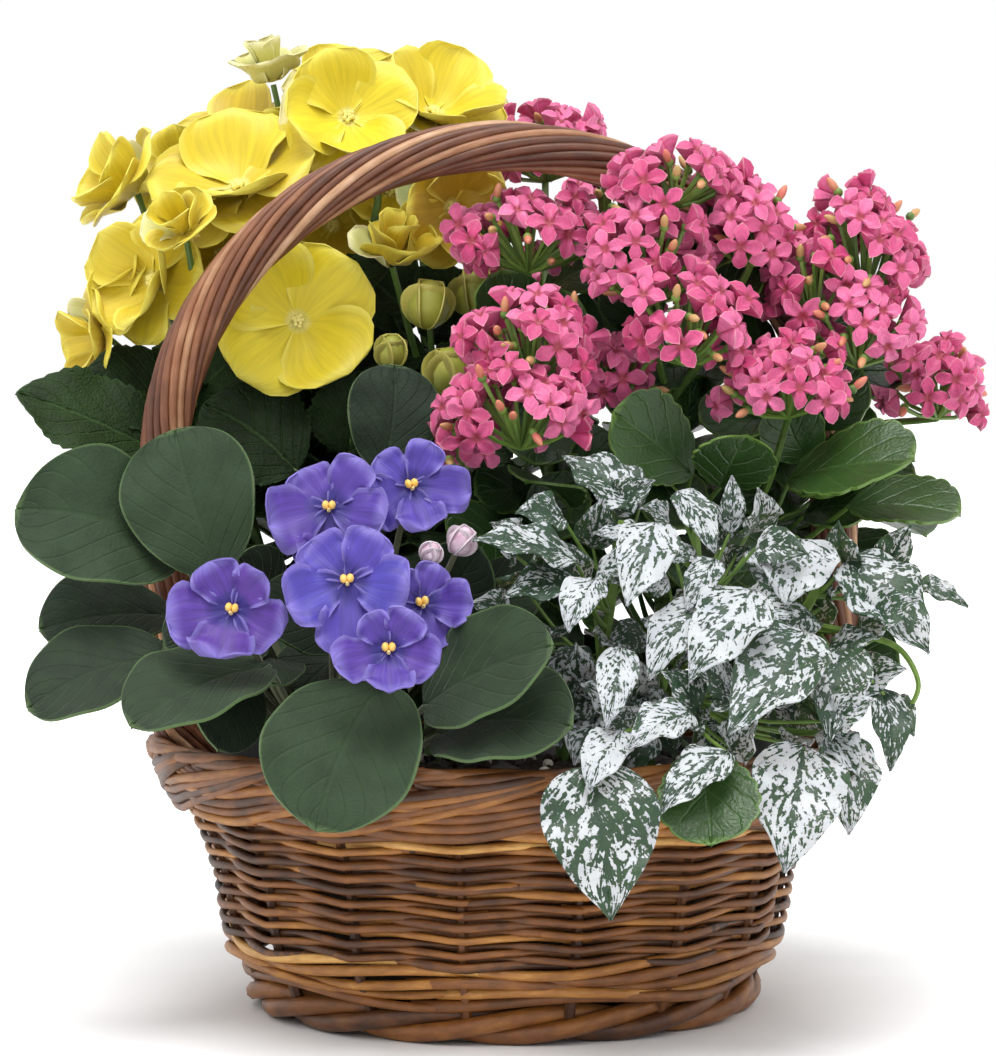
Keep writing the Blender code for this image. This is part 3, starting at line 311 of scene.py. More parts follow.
@dataclass(frozen=True)
class SplashFinish:
    """A polka-dot plant's leaf: white tissue broken by a green net, green veins and green splashes."""

    name: str
    white: str
    blush: str
    green: str
    pale_green: str

    def material(self) -> bpy.types.Material:
        """Builds the material: the tone of a leaf says how much of it is green."""
        graph = Graph(self.name)
        along, across, tone = map(graph.mark, BLADE_MARKS)
        spot = graph.spot()
        bend = graph.add("TexNoise", {"Scale": SPLASH_BEND, "Detail": 2.0}, {"Vector": spot})
        shifted = graph.add("VectorMath", {"operation": "SCALE", "Scale": 0.009}, {0: bend.outputs["Color"]})
        where = graph.add("VectorMath", {"operation": "ADD"}, {0: spot, 1: shifted})
        # Flecks of about 2 mm, drawn out along the side veins, and splashes of about 8 mm.
        side = graph.add("Math", {"operation": "ABSOLUTE"}, {0: across})
        swept = graph.add("Math", {"operation": "MULTIPLY_ADD", 1: -0.45}, {0: side, 2: along})
        drawn = graph.add("CombineXYZ", links={"X": across, "Y": swept, "Z": tone})
        place = graph.add("Mapping", {"Scale": (5.5, 15.0, 61.0)}, {"Vector": drawn})
        flecked = {"Detail": 2.0, "Roughness": 0.6}
        streaks = graph.add("TexNoise", {"Scale": 1.0, **flecked}, {"Vector": place})
        specks = graph.add("TexNoise", {"Scale": SPLASH_SPECK, **flecked}, {"Vector": where})
        flecks = graph.add("Math", {"operation": "ADD"}, {0: streaks, 1: specks})
        splashes = graph.add("TexNoise", {"Scale": SPLASH_BLOT, "Detail": 2.0}, {"Vector": where})
        both = graph.add("Math", {"operation": "MULTIPLY_ADD", 1: 0.5}, {0: splashes, 2: flecks})
        veins = graph.veins(side, swept, 6.0, (0.02, 0.14, 0.2), (0.0, 0.16, 0.12))
        greener = graph.add("Math", {"operation": "MULTIPLY_ADD", 1: 0.24, 2: -0.1}, {0: tone})
        bias = graph.add("Math", {"operation": "ADD"}, {0: veins, 1: greener})
        level = graph.add("Math", {"operation": "ADD"}, {0: both, 1: bias})
        mask = graph.add("MapRange", SMOOTH | {"From Min": 1.24, "From Max": 1.31}, {"Value": level})
        whites = {"Color1": linear(self.white), "Color2": linear(self.blush)}
        greens = {"Color1": linear(self.green), "Color2": linear(self.pale_green)}
        pale = graph.add("MixRGB", whites, {"Fac": splashes})
        deep = graph.add("MixRGB", greens, {"Fac": splashes})
        colour = graph.add("MixRGB", links={"Fac": mask, "Color1": pale, "Color2": deep})
        grain = graph.add("TexNoise", {"Scale": SPLASH_GRAIN}, {"Vector": spot})
        height = graph.add("Math", {"operation": "MULTIPLY_ADD", 1: -0.6}, {0: mask, 2: grain})
        return graph.finish(colour, height, 0.3, Roughness=0.5, Subsurface_Weight=0.08, Sheen_Weight=0.05)


@dataclass(frozen=True)
class PlainFinish:
    """A small soft part, such as a stalk, a bud or an anther: one colour that drifts into a second."""

    name: str
    colour: str
    other: str
    grain: float = 250.0
    relief: float = 0.15
    roughness: float = 0.5
    sheen: float = 0.0

    def material(self) -> bpy.types.Material:
        """Builds the material: two colours mixed by noise and by the part's tone."""
        graph = Graph(self.name)
        noise = graph.add("TexNoise", {"Scale": self.grain, "Detail": 3.0}, {"Vector": graph.spot()})
        shade = graph.drift(noise, 1.2, graph.mark("tone"))
        pair = {"Color1": linear(self.colour), "Color2": linear(self.other)}
        colour = graph.add("MixRGB", pair, {"Fac": shade})
        return graph.finish(colour, noise, self.relief, Roughness=self.roughness, Sheen_Weight=self.sheen)


Finish = WillowFinish | PetalFinish | LeafFinish | SplashFinish | PlainFinish

BROWN_WILLOW = WillowFinish(
    "brown willow, stained and varnished",
    ((0.0, "#1e0f06"), (0.28, "#4a290f"), (0.55, "#7c4a1c"), (0.8, "#a66f2f"), (1.0, "#d0a058")),
)
BUFF_WILLOW = WillowFinish(
    "buff willow, steamed and varnished",
    ((0.0, "#3a1e12"), (0.3, "#653a24"), (0.6, "#8c5a3c"), (0.85, "#b08562"), (1.0, "#c9a383")),
)
# The begonia petal's second colour, #bf9c20, is painted shade: the ochre of a petal in shade. Each bloom
# takes as much of it as its tone says.
YELLOW_PETAL = PetalFinish(
    "begonia petal", "#ebe183", "#e8d522", "#ece05c", "#bf9c20", heart_end=0.14, streaks=0.18, inside=0.3
)
PALE_PETAL = PetalFinish(
    "begonia petal, pale and thin", "#ded476", "#ddd070", "#e8e2b0", "#b9c486",
    heart_end=0.3, streaks=0.12, inside=0.32,
)
BUD_PETAL = PetalFinish(
    "begonia bud petal", "#8f9840", "#c3b84c", "#cfc768", "#9a9440", heart_end=0.5, streaks=0.2, inside=0.15
)
PINK_PETAL = PetalFinish(
    "kalanchoe petal", "#a83c50", "#ea74a6", "#f0a8b6", "#c22c6a",
    heart_end=0.32, streaks=0.24, inside=0.12, rim_start=0.9,
)
BLUE_PETAL = PetalFinish(
    "African violet petal", "#24167a", "#463ba8", "#8679cb", "#55268c",
    heart_end=0.42, streaks=0.3, inside=0.1, rim_start=0.72, roughness=0.55,
)
MAGENTA_BUD = PetalFinish(
    "African violet bud", "#7c1a58", "#a84a84", "#eee6ec", "#8a2a68",
    heart_end=0.5, streaks=0.3, inside=0.1, rim_start=0.45,
)
BEGONIA_LEAF = LeafFinish(
    "begonia leaf, matt and quilted", "#14240b", "#2a4619", "#426030", "#38552a",
    vein_share=0.3, rim_start=0.92, relief=0.6, roughness=0.66, slant=0.45, rim_share=0.3, gloss=0.25,
)
KALANCHOE_LEAF = LeafFinish(
    "kalanchoe leaf, fleshy and glossy", "#1c3614", "#33541f", "#486a30", "#6d8f3f",
    vein_share=0.25, rim_start=0.94, relief=0.3, roughness=0.36, veins=4.0,
)
# The pale rim, #5c7547, is painted sheen: the light caught by the hairs at the leaf's edge.
VIOLET_LEAF = LeafFinish(
    "African violet leaf, hairy", "#142214", "#2e4227", "#3a4f30", "#5c7547",
    vein_share=0.1, rim_start=0.962, relief=0.26, roughness=0.65, rim_share=0.7, sheen=0.16, gloss=0.25,
)
SPLASHED_LEAF = SplashFinish("polka-dot plant leaf", "#cbcecb", "#a6a7b2", "#10261a", "#27472c")
GREEN_STALK = PlainFinish("green stalk", "#3a5722", "#5f7f34")
DARK_STALK = PlainFinish(
    "violet stalk, hairy", "#3d4a30", "#5b5a3c", grain=400.0, relief=0.3, roughness=0.7, sheen=0.3
)
STAMEN = PlainFinish("begonia stamens", "#f3ea9a", "#e6d76a", grain=600.0)
FLORET_BUD = PlainFinish("kalanchoe bud", "#cf6f62", "#b9a063", grain=200.0)
YOUNG_LEAF = PlainFinish("calyx green", "#4d6c2c", "#74923f", grain=300.0)
BUD_CORE = PlainFinish("African violet bud core", "#93306e", "#ecdfe8", grain=260.0)
ANTHER = PlainFinish("African violet anther", "#e8b23c", "#f3dc96", grain=500.0)
CREAM_BUD = PlainFinish("begonia bud", "#b9ae48", "#8f9a3e", grain=120.0)
LINER_FILM = PlainFinish("black polythene film", "#0b0b0c", "#151516", grain=60.0, relief=0.4, roughness=0.7)
PEAT = PlainFinish("moist peat potting mix", "#1a120b", "#38281a", grain=500.0, relief=1.6, roughness=0.95)
PERLITE = PlainFinish("perlite crumb", "#d9d5ca", "#b9b2a2", grain=900.0, relief=0.4, roughness=0.9)
WHITE_FLOOR = PlainFinish(
    "matt white studio floor", "#f6f6f6", "#f2f2f2", grain=3.0, relief=0.0, roughness=0.8
)


class Palette:
    """The materials of the scene, each built once when it is first asked for."""

    def __init__(self) -> None:
        """Starts with no material."""
        self.made: dict[str, bpy.types.Material] = {}

    def __getitem__(self, finish: Finish) -> bpy.types.Material:
        """Gives the material of a finish, built on first use."""
        if finish.name not in self.made:
            self.made[finish.name] = finish.material()
        return self.made[finish.name]


PALETTE = Palette()


# ---------------------------------------------------------------- shaping


def select_only(objects: Sequence[bpy.types.Object]) -> None:
    """Selects these objects alone and makes the first of them the active one."""
    bpy.ops.object.select_all(action="DESELECT")
    for obj in objects:
        obj.select_set(True)
    bpy.context.view_layer.objects.active = objects[0]


def joined(objects: Sequence[bpy.types.Object]) -> bpy.types.Object:
    """Joins objects into the first of them."""
    select_only(objects)
    if len(objects) > 1:
        bpy.ops.object.join()
    return objects[0]


def new_object(data: bpy.types.ID, name: str = "part") -> bpy.types.Object:
    """Puts a mesh, a curve, a light or a camera in the scene as an object at the origin."""
    obj = bpy.data.objects.new(name, data)
    bpy.context.scene.collection.objects.link(obj)
    return obj


def write_mark(mesh: bpy.types.Mesh, name: str, values: np.ndarray | float) -> None:
    """Writes one number per vertex as an attribute of the mesh.

    Args:
        mesh: The mesh.
        name: The attribute's name, as the materials read it.
        values: One value for all vertices, or one each.
    """
    if name not in mesh.attributes:
        mesh.attributes.new(name, "FLOAT", "POINT")
    filled = np.broadcast_to(np.asarray(values, np.float32), (len(mesh.vertices),))
    mesh.attributes[name].data.foreach_set("value", np.ascontiguousarray(filled))


def vertices_of(mesh: bpy.types.Mesh) -> np.ndarray:
    """Reads the vertices of a mesh as rows of x, y and z."""
    flat = np.empty(3 * len(mesh.vertices), np.float32)
    mesh.vertices.foreach_get("co", flat)
    return flat.reshape(-1, 3).astype(float)


def write_vertices(mesh: bpy.types.Mesh, points: np.ndarray) -> None:
    """Moves the vertices of a mesh to the given points, in millimetres."""
    mesh.vertices.foreach_set("co", (points * MM).astype(np.float32).ravel())
    mesh.update()


def dress(mesh: bpy.types.Mesh, tone: float, finish: Finish) -> bpy.types.Mesh:
    """Gives a mesh its tone and its material, and gives it back."""
    write_mark(mesh, "tone", tone)
    mesh.materials.clear()
    mesh.materials.append(PALETTE[finish])
    return mesh


def thickened(objects: Sequence[bpy.types.Object], thickness: float) -> bpy.types.Object:
    """Joins thin sheets and gives them their thickness, half to each side.

    Args:
        objects: The sheets.
        thickness: In millimetres.

    Returns:
        The joined object.
    """
    sheet = joined(objects)
    solid = sheet.modifiers.new("thickness", "SOLIDIFY")
    solid.thickness = thickness * MM
    solid.offset = 0.0
    bpy.ops.object.modifier_apply(modifier=solid.name)
    return sheet


def finish_piece(name: str, parts: Sequence[bpy.types.Object], nodes: Iterable[str]) -> None:
    """Joins the parts of one piece and puts it on the frame.

    Args:
        name: The piece's name.
        parts: The objects that make it up.
        nodes: The solids that it stands for.
    """
    piece = joined(parts)
    piece.name = name
    piece.data.name = name
    bpy.ops.object.shade_smooth_by_angle(angle=SMOOTH_BELOW)
    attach(piece, "root")
    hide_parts(*nodes)
    LOG.info("%s: %d faces", name, len(piece.data.polygons))


@dataclass(frozen=True)
class Rod:
    """A rod or stalk: the points that it follows, its radius at both ends, and its tone."""

    route: np.ndarray
    radius: float
    tip_radius: float
    tone: float = 0.5
    round_steps: int = 1

    def curve(self) -> bpy.types.Object:
        """Makes the rod as a curve with a round bevel."""
        curve = bpy.data.curves.new("rod", "CURVE")
        curve.dimensions = "3D"
        curve.bevel_depth = self.radius * MM
        curve.bevel_resolution = self.round_steps
        curve.use_fill_caps = True
        spline = curve.splines.new("POLY")
        count = len(self.route)
        spline.points.add(count - 1)
        places = np.ones((count, 4))
        places[:, :3] = self.route * MM
        spline.points.foreach_set("co", places.ravel())
        spline.points.foreach_set("radius", np.linspace(1.0, self.tip_radius / self.radius, count))
        return new_object(curve, "rod")


def make_rods(rods: Sequence[Rod], finish: Finish) -> list[bpy.types.Object]:
    """Makes rods from curves with a round bevel, and marks each with its tone.

    Args:
        rods: The rods.
        finish: What they are made of.

    Returns:
        One object for each rod, with a map of centimetres along it and turns round it.
    """
    made = [rod.curve() for rod in rods]
    select_only(made)
    bpy.ops.object.convert(target="MESH")
    for rod, obj in zip(rods, made):
        mesh = dress(obj.data, rod.tone, finish)
        length = float(np.linalg.norm(np.diff(rod.route, axis=0), axis=1).sum())
        layer = mesh.uv_layers["UVMap"]
        flat = np.empty(2 * len(mesh.loops), np.float32)
        layer.data.foreach_get("uv", flat)
        flat[0::2] *= length / 10.0
        layer.data.foreach_set("uv", flat)
    return made


def drawn_tone(
    rng: random.Random, mean: float, spread: float, low: float = 0.05, high: float = 0.95
) -> float:
    """Draws a rod's tone round a mean, kept between two limits."""
    return min(max(rng.gauss(mean, spread), low), high)


class Stencils:
    """Meshes that are modelled once and then copied, each copy with its own mesh."""

    def __init__(self) -> None:
        """Starts with none."""
        self.kept: dict[str, bpy.types.Mesh] = {}

    def copy(self, name: str, build: Callable[[], None]) -> bpy.types.Mesh:
        """Gives a copy of the named stencil.

        Args:
            name: The stencil's name.
            build: Models it as the active object, when it is first asked for.

        Returns:
            A new mesh.
        """
        if name not in self.kept:
            bpy.ops.object.select_all(action="DESELECT")
            build()
            obj = bpy.context.view_layer.objects.active
            bpy.ops.object.transform_apply(location=True, rotation=True, scale=True)
            mesh = obj.data
            mesh.use_fake_user = True
            bpy.data.objects.remove(obj, do_unlink=True)
            self.kept[name] = mesh
        return self.kept[name].copy()

    def discard(self) -> None:
        """Removes the stencils once everything is made."""
        for mesh in self.kept.values():
            bpy.data.meshes.remove(mesh)


STENCILS = Stencils()


class Edge(Enum):
    """How the edge of a blade is cut."""

    PLAIN = "plain"
    TOOTHED = "toothed"
    SCALLOPED = "scalloped"


@dataclass(frozen=True)
class Form:
    """The outline and relief of one kind of blade.

    At a share s of its length the blade's half width is s**swell * (1 - s**taper)**tip, brought to 1 at its
    widest. The other shares are of that half width, and groove and quilt are in millimetres. A petal with
    wrap bends round its flower's axis, and curl turns its outer end back.
    """

    swell: float
    taper: float
    tip: float
    columns: int = 8
    rows: int = 16
    edge: Edge = Edge.PLAIN
    cuts: float = 0.0
    depth: float = 0.0
    cup: float = 0.12
    groove: float = 0.0
    quilt: float = 0.0
    veins: float = 6.0
    slant: float = 0.45
    ruffle: float = 0.0
    waves: float = 2.5
    wrap: float = 0.0
    curl: float = 0.0

    def coarse(self) -> "Form":
        """Gives the same form with fewer faces and larger teeth, for leaves in the shade of others."""
        return replace(self, columns=6, rows=round(0.45 * self.rows), cuts=0.6 * self.cuts)

    def half_width(self, along: np.ndarray) -> np.ndarray:
        """Gives the half width along the blade as a share of the widest."""
        scan = np.linspace(0.0, 1.0, 101)
        widest = (scan**self.swell * (1.0 - scan**self.taper) ** self.tip).max()
        width = along**self.swell * np.maximum(1.0 - along**self.taper, 0.0) ** self.tip / widest
        if self.edge is Edge.TOOTHED:
            width *= 1.0 - self.depth * (1.0 - (self.cuts * along) % 1.0)
        elif self.edge is Edge.SCALLOPED:
            width *= 1.0 - self.depth * (1.0 - np.abs(np.sin(np.pi * self.cuts * along)) ** 0.6)
        return np.maximum(width, 0.02)

    def rise(self, along: np.ndarray, across: np.ndarray, half: float, phase: float) -> np.ndarray:
        """Gives how far the sheet stands above its middle line, in millimetres.

        Args:
            along: Shares of the length.
            across: Shares of the half width, from -1 to 1.
            half: The widest half width, in millimetres.
            phase: Where the waves of the edge start.

        Returns:
            One height for each point.
        """
        width = self.half_width(along) * half
        away = np.abs(across)
        height = self.cup * width * away**1.6
        height -= self.groove * np.exp(-((across / 0.09) ** 2))
        pillow = np.abs(np.sin(np.pi * self.veins * (along - self.slant * away)))
        height += self.quilt * pillow * (1.0 - away**4)
        wave = np.sin(math.tau * self.waves * along + phase + 1.7 * np.sign(across))
        return height + self.ruffle * wave * away**2 * np.minimum(1.6 * width, half)


def sheet_mesh(form: Form) -> tuple[bpy.types.Mesh, np.ndarray, np.ndarray]:
    """Copies a flat grid for a blade.

    Args:
        form: The kind of blade.

    Returns:
        The mesh, and each vertex's share along the blade and across it.
    """
    cells = {"x_subdivisions": form.columns, "y_subdivisions": form.rows}
    name = f"grid {form.columns} {form.rows}"
    mesh = STENCILS.copy(name, lambda: bpy.ops.mesh.primitive_grid_add(size=2.0, **cells))
    grid = vertices_of(mesh)
    level = (grid[:, 1] + 1.0) / 2.0
    # Rows lie closer together towards both ends, where the outline turns.
    along = 0.4 * level + 0.6 * (0.5 - 0.5 * np.cos(np.pi * level))
    return mesh, np.clip(along, 0.0, 1.0), grid[:, 0]


def make_sheet(
    mesh: bpy.types.Mesh, along: np.ndarray, across: np.ndarray, tone: float, finish: Finish
) -> bpy.types.Object:
    """Writes the marks that a blade's material reads, dresses it, and puts it in the scene.

    Args:
        mesh: The blade's mesh.
        along: Each vertex's share along the blade.
        across: Each vertex's share across it.
        tone: Its tone.
        finish: Its surface.

    Returns:
        The blade as a thin sheet.
    """
    write_mark(mesh, "along", along)
    write_mark(mesh, "across", across)
    return new_object(dress(mesh, tone, finish))


@dataclass(frozen=True)
class Leaf:
    """One blade from its base to its tip, with its width and the way that its upper face looks."""

    base: Point
    tip: Point
    width: float
    face: Point = (0.0, -0.6, 0.8)
    arch: float = 0.08
    via: tuple[Point, ...] = ()
    tone: float = 0.5
    shaded: bool = False

    def axes(self) -> tuple[np.ndarray, np.ndarray, np.ndarray, float]:
        """Gives the unit vectors along, across and out of the leaf, and its length."""
        base, tip = np.array(self.base, float), np.array(self.tip, float)
        length = float(np.linalg.norm(tip - base))
        ahead = (tip - base) / length
        side = np.cross(ahead, np.array(self.face, float))
        side /= np.linalg.norm(side)
        return ahead, side, np.cross(side, ahead), length

    def middle_line(self, shares: np.ndarray) -> np.ndarray:
        """Gives points on the leaf's middle line."""
        ahead, _, up, length = self.axes()
        rise = self.arch * length * 4.0 * shares * (1.0 - shares)
        return np.array(self.base) + np.outer(shares * length, ahead) + np.outer(rise, up)


def leaf_blade(leaf: Leaf, form: Form, finish: Finish, rng: random.Random) -> bpy.types.Object:
    """Makes the blade of a leaf, with a little of its own bend and twist.

    Args:
        leaf: Where it lies.
        form: Its kind.
        finish: Its surface.
        rng: Draws the bend, the twist and the waves.

    Returns:
        The blade as a thin sheet.
    """
    form = form.coarse() if leaf.shaded else form
    mesh, along, across = sheet_mesh(form)
    _, side, up, length = leaf.axes()
    half = leaf.width / 2.0
    bow, twist, phase = rng.uniform(-0.05, 0.05), rng.uniform(-0.25, 0.25), rng.uniform(0.0, math.tau)
    reach = form.half_width(along) * half * across
    rise = form.rise(along, across, half, phase) + twist * (along - 0.3) * reach
    sideways = reach + bow * length * np.sin(np.pi * along)
    points = leaf.middle_line(along) + np.outer(sideways, side) + np.outer(rise, up)
    write_vertices(mesh, points)
    return make_sheet(mesh, along, across, leaf.tone, finish)


def smooth_route(points: Sequence[Sequence[float]], steps: int = 6) -> np.ndarray:
    """Puts points on a smooth curve through the given ones.

    Args:
        points: At least two points.
        steps: How many points each stretch gets.

    Returns:
        The points, the last one included.
    """
    knots = np.array(points, float)
    if len(knots) < 3:
        shares = np.linspace(0.0, 1.0, steps + 1)[:, None]
        return knots[0] + (knots[-1] - knots[0]) * shares
    ends = np.vstack([2 * knots[0] - knots[1], knots, 2 * knots[-1] - knots[-2]])
    route = []
    for a, b, c, d in zip(ends, ends[1:], ends[2:], ends[3:]):
        for t in np.arange(steps) / steps:
            bend = (2 * a - 5 * b + 4 * c - d) * t**2 + (3 * b - a - 3 * c + d) * t**3
            route.append(b + 0.5 * ((c - a) * t + bend))
    return np.array(route + [knots[-1]])


def nearest_on(route: np.ndarray, point: Sequence[float]) -> np.ndarray:
    """Finds the point of a route that is nearest to the given one."""
    return route[np.linalg.norm(route - np.array(point, float), axis=1).argmin()]


def stalk(start: np.ndarray, end: np.ndarray, via: Sequence[Point], sag: float = 0.08) -> np.ndarray:
    """Gives the smooth route of a stalk, through the points on its way or through a sagging middle."""
    middle = (start + end) / 2.0 - np.array((0.0, 0.0, sag * np.linalg.norm(end - start)))
    return smooth_route([start, *(via or [middle]), end], 5)


def flower_stalk(
    route: np.ndarray, end: np.ndarray, via: Sequence[Point], radius: float, tip_radius: float
) -> Rod:
    """Gives the stalk of a flower, a head or a bud, which leaves its stem some way below.

    Args:
        route: The stem's middle line.
        end: Where the stalk ends.
        via: The points on its way, if it doesn't run straight.
        radius: Its radius at the stem.
        tip_radius: Its radius at the end.

    Returns:
        The stalk.
    """
    start = nearest_on(route, end - np.array((0.0, 0.0, STALK_DROP)))
    return Rod(stalk(start, end, via), radius, tip_radius, 0.6)


def turn_to(centre: Sequence[float], axis: Sequence[float], spin: float = 0.0) -> Matrix:
    """Gives the matrix that puts +Z along the axis at the centre, turned about it by spin degrees."""
    turn = Vector(axis).normalized().to_track_quat("Z", "Y").to_matrix().to_4x4()
    return Matrix.Translation(Vector(centre)) @ turn @ Matrix.Rotation(math.radians(spin), 4, "Z")


def moved(points: np.ndarray, matrix: Matrix) -> np.ndarray:
    """Moves points by a matrix."""
    rows = np.array(matrix, float)
    return points @ rows[:3, :3].T + rows[:3, 3]


def ball(matrix: Matrix, radii: Point, tone: float, finish: Finish) -> bpy.types.Object:
    """Makes a closed rounded body.

    Args:
        matrix: Its place and turn, in millimetres.
        radii: Its half widths along its own axes.
        tone: Its tone.
        finish: Its surface.

    Returns:
        The body.
    """
    mesh = STENCILS.copy("ball", lambda: bpy.ops.mesh.primitive_uv_sphere_add(segments=8, ring_count=6))
    points = vertices_of(mesh)
    # The top narrows, so that a bud looks like a drop.
    points[:, :2] *= 1.0 - 0.22 * np.clip(points[:, 2:3], 0.0, 1.0)
    write_vertices(mesh, moved(points * np.array(radii), matrix))
    return new_object(dress(mesh, tone, finish))


def select_top() -> None:
    """Leaves the active body in edit mode with only its upper face selected."""
    bpy.ops.object.mode_set(mode="EDIT")
    bpy.ops.mesh.select_all(action="DESELECT")
    bpy.ops.object.mode_set(mode="OBJECT")
    for face in bpy.context.view_layer.objects.active.data.polygons:
        face.select = face.normal.z > 0.9
    bpy.ops.object.mode_set(mode="EDIT")


# ---------------------------------------------------------------- basket


@dataclass(frozen=True)
class Basket:
    """The woven basket: foot rope, upsett, randed wall, plaited border, base sticks and stakes.

    The wall and the border are given as pairs of a height and a radius. A field that ends in rod is a rod's
    radius, weave is how far a rod swings in and out round the stakes, and climb how far it rises between
    them.
    """

    stakes: int = 16
    first_stake: float = math.radians(-98.0)
    wall: Pairs = (
        (10.0, 91.0), (14.3, 92.5), (22.0, 98.0), (34.0, 100.5),
        (50.0, 103.0), (62.0, 107.0), (78.5, 114.0), (90.0, 122.0),
    )
    rod: float = 1.5
    row_step: float = 2.32
    first_row: float = 27.1
    rows: int = 22
    weave: float = 2.6
    climb: float = 1.5
    upsett_rod: float = 2.1
    upsett_heights: tuple[float, ...] = (14.8, 18.0, 21.2, 24.4, 27.4)
    stake_rod: float = 2.0
    border_groups: int = 16
    border_rod: float = 2.0
    border: Pairs = ((71.6, 114.0), (80.5, 119.4), (88.0, 123.4), (94.5, 126.0), (98.0, 126.4))
    rim_top: float = 97.0
    rim_radius: float = 123.2
    rope_rod: float = 3.35
    rope_twist: float = 3.4
    rope_radius: float = 86.0
    base_rod: float = 1.95
    base_height: float = 3.1
    base_sticks: int = 8

    def wall_radius(self, height: np.ndarray) -> np.ndarray:
        """Gives the outer radius of the wall at each height."""
        heights, radii = zip(*self.wall)
        return np.interp(height, heights, radii)

    def ring(self, angles: np.ndarray, radii: np.ndarray, heights: np.ndarray) -> np.ndarray:
        """Puts points round the basket."""
        return np.stack([radii * np.cos(angles), radii * np.sin(angles), heights], 1)

    def tucked(self, angles: np.ndarray, over: float, depth: float) -> np.ndarray:
        """Gives how far a rod is pushed in at both ends, over that many radians and to that depth."""
        ends = np.minimum((angles - angles[0]) / over, (angles[-1] - angles) / over)
        return depth * (1.0 - np.clip(ends, 0.0, 1.0))

    def woven_rods(self, rng: random.Random) -> list[Rod]:
        """Rows of randing: each rod goes in front of one stake and behind the next, and rows alternate."""
        rods = []
        for row in range(self.rows):
            start = rng.uniform(0.0, math.tau)
            lengths = [rng.randint(4, 7) for _ in range(3)]
            for count in (*lengths, max(self.stakes - sum(lengths), 2)):
                span = count * math.tau / self.stakes
                angles = np.linspace(start - 0.08, start + span + 0.08, 9 * count)
                phase = self.stakes / 2.0 * (angles - self.first_stake)
                wave = np.cos(phase + math.pi * (row % 2))
                wave = np.sign(wave) * np.abs(wave) ** 0.8
                drift = 0.45 * np.sin(3.0 * angles + 0.3 * row) + rng.uniform(-0.35, 0.35)
                # The rods sag where they pass a stake, so that the strokes meet there in a flat V.
                climb = self.climb * np.abs(np.sin(phase))
                heights = self.first_row + row * self.row_step + drift + climb
                radii = self.wall_radius(heights) - 1.9 + self.weave * wave - self.tucked(angles, 0.12, 2.6)
                radius = self.rod * rng.uniform(0.86, 1.08)
                tone = drawn_tone(rng, 0.46 - 0.05 * (row % 3 == 1), 0.17)
                rods.append(Rod(self.ring(angles, radii, heights), radius, radius * 0.9, tone, 2))
                start += span
        return rods

    def upsett_rods(self, rng: random.Random) -> list[Rod]:
        """Waling above the foot: stout buff rods, each in front of two stakes and behind one."""
        rods = []
        turns = self.stakes / 3.0
        for row, height in enumerate(self.upsett_heights):
            for part in range(3):
                first = rng.uniform(0.0, 0.4) + part * math.tau / 3.0
                angles = np.linspace(first, first + math.tau / 3.0 + 0.3, 46)
                wave = np.cos(turns * (angles - self.first_stake) + row * 2.1)
                heights = height + 1.9 * np.sin(turns * angles + row) + rng.uniform(-0.5, 0.5)
                radii = self.wall_radius(heights) - 1.2 + 1.7 * wave - self.tucked(angles, 0.15, 3.2)
                radius = self.upsett_rod * rng.uniform(0.85, 1.1)
                tone = drawn_tone(rng, 0.62, 0.17, 0.25)
                rods.append(Rod(self.ring(angles, radii, heights), radius, radius * 0.85, tone, 2))
        return rods

    def stake_rods(self, rng: random.Random) -> list[Rod]:
        """The upright stakes that the rows go round."""
        rods = []
        heights = np.linspace(9.0, 84.0, 12)
        for k in range(self.stakes):
            angle = self.first_stake + k * math.tau / self.stakes
            route = self.ring(np.full(heights.shape, angle), self.wall_radius(heights) - 2.9, heights)
            rods.append(Rod(route, self.stake_rod, 0.85 * self.stake_rod, rng.uniform(0.2, 0.5)))
        return rods

    def border_rod_at(
        self, angles: np.ndarray, heights: np.ndarray, out: np.ndarray, taper: float, rng: random.Random
    ) -> Rod:
        """Makes one rod of the border.

        Args:
            angles: Its places round the basket, in radians.
            heights: Its heights.
            out: How far it stands out of the border's profile at each place.
            taper: Its end's share of its radius.
            rng: Draws its radius and its tone.

        Returns:
            The rod.
        """
        heights_at, radii_at = zip(*self.border)
        route = self.ring(angles, np.interp(heights, heights_at, radii_at) + out, heights)
        radius = self.border_rod * rng.uniform(0.85, 1.1)
        return Rod(route, radius, radius * taper, drawn_tone(rng, 0.5, 0.15, 0.1), 2)

    def falling_rod(self, first: float, k: int, lift: float, rng: random.Random) -> Rod:
        """Makes the k-th rod of a group that falls under the plait from its place on the rim."""
        step = math.tau / self.border_groups
        shares = np.linspace(0.0, 1.0, 26)
        angles = first + step * (0.1 + 0.22 * k) + shares * step * 1.5
        heights = 95.0 - 17.5 * shares**0.85 - 0.9 * k + lift
        return self.border_rod_at(angles, heights, 1.9 * np.sin(np.pi * shares) - 2.2, 0.9, rng)

    def sweeping_rod(self, first: float, k: int, rng: random.Random) -> Rod:
        """Makes the k-th rod of a group that sweeps up over the plait and turns in under the rim."""
        step = math.tau / self.border_groups
        shares = np.linspace(0.0, 1.0, 26)
        curve = np.where(shares < 0.3, 0.0, (shares - 0.3) / 0.7) ** 1.55
        heights = 75.5 + 3.3 * k - 1.6 * np.sin(np.pi * np.clip(shares / 0.5, 0.0, 1.0))
        heights = np.minimum(heights + (20.0 - 3.0 * k) * curve, self.rim_top - 2.2 + 0.2 * k)
        start = 3.6 * np.clip((0.16 - shares) / 0.16, 0.0, 1.0) ** 1.5
        end = 6.5 * np.clip((shares - 0.86) / 0.14, 0.0, 1.0) ** 1.6
        out = 1.5 - start - end - 0.3 * k
        return self.border_rod_at(first + step * 0.3 + shares * step * 2.5, heights, out, 0.88, rng)

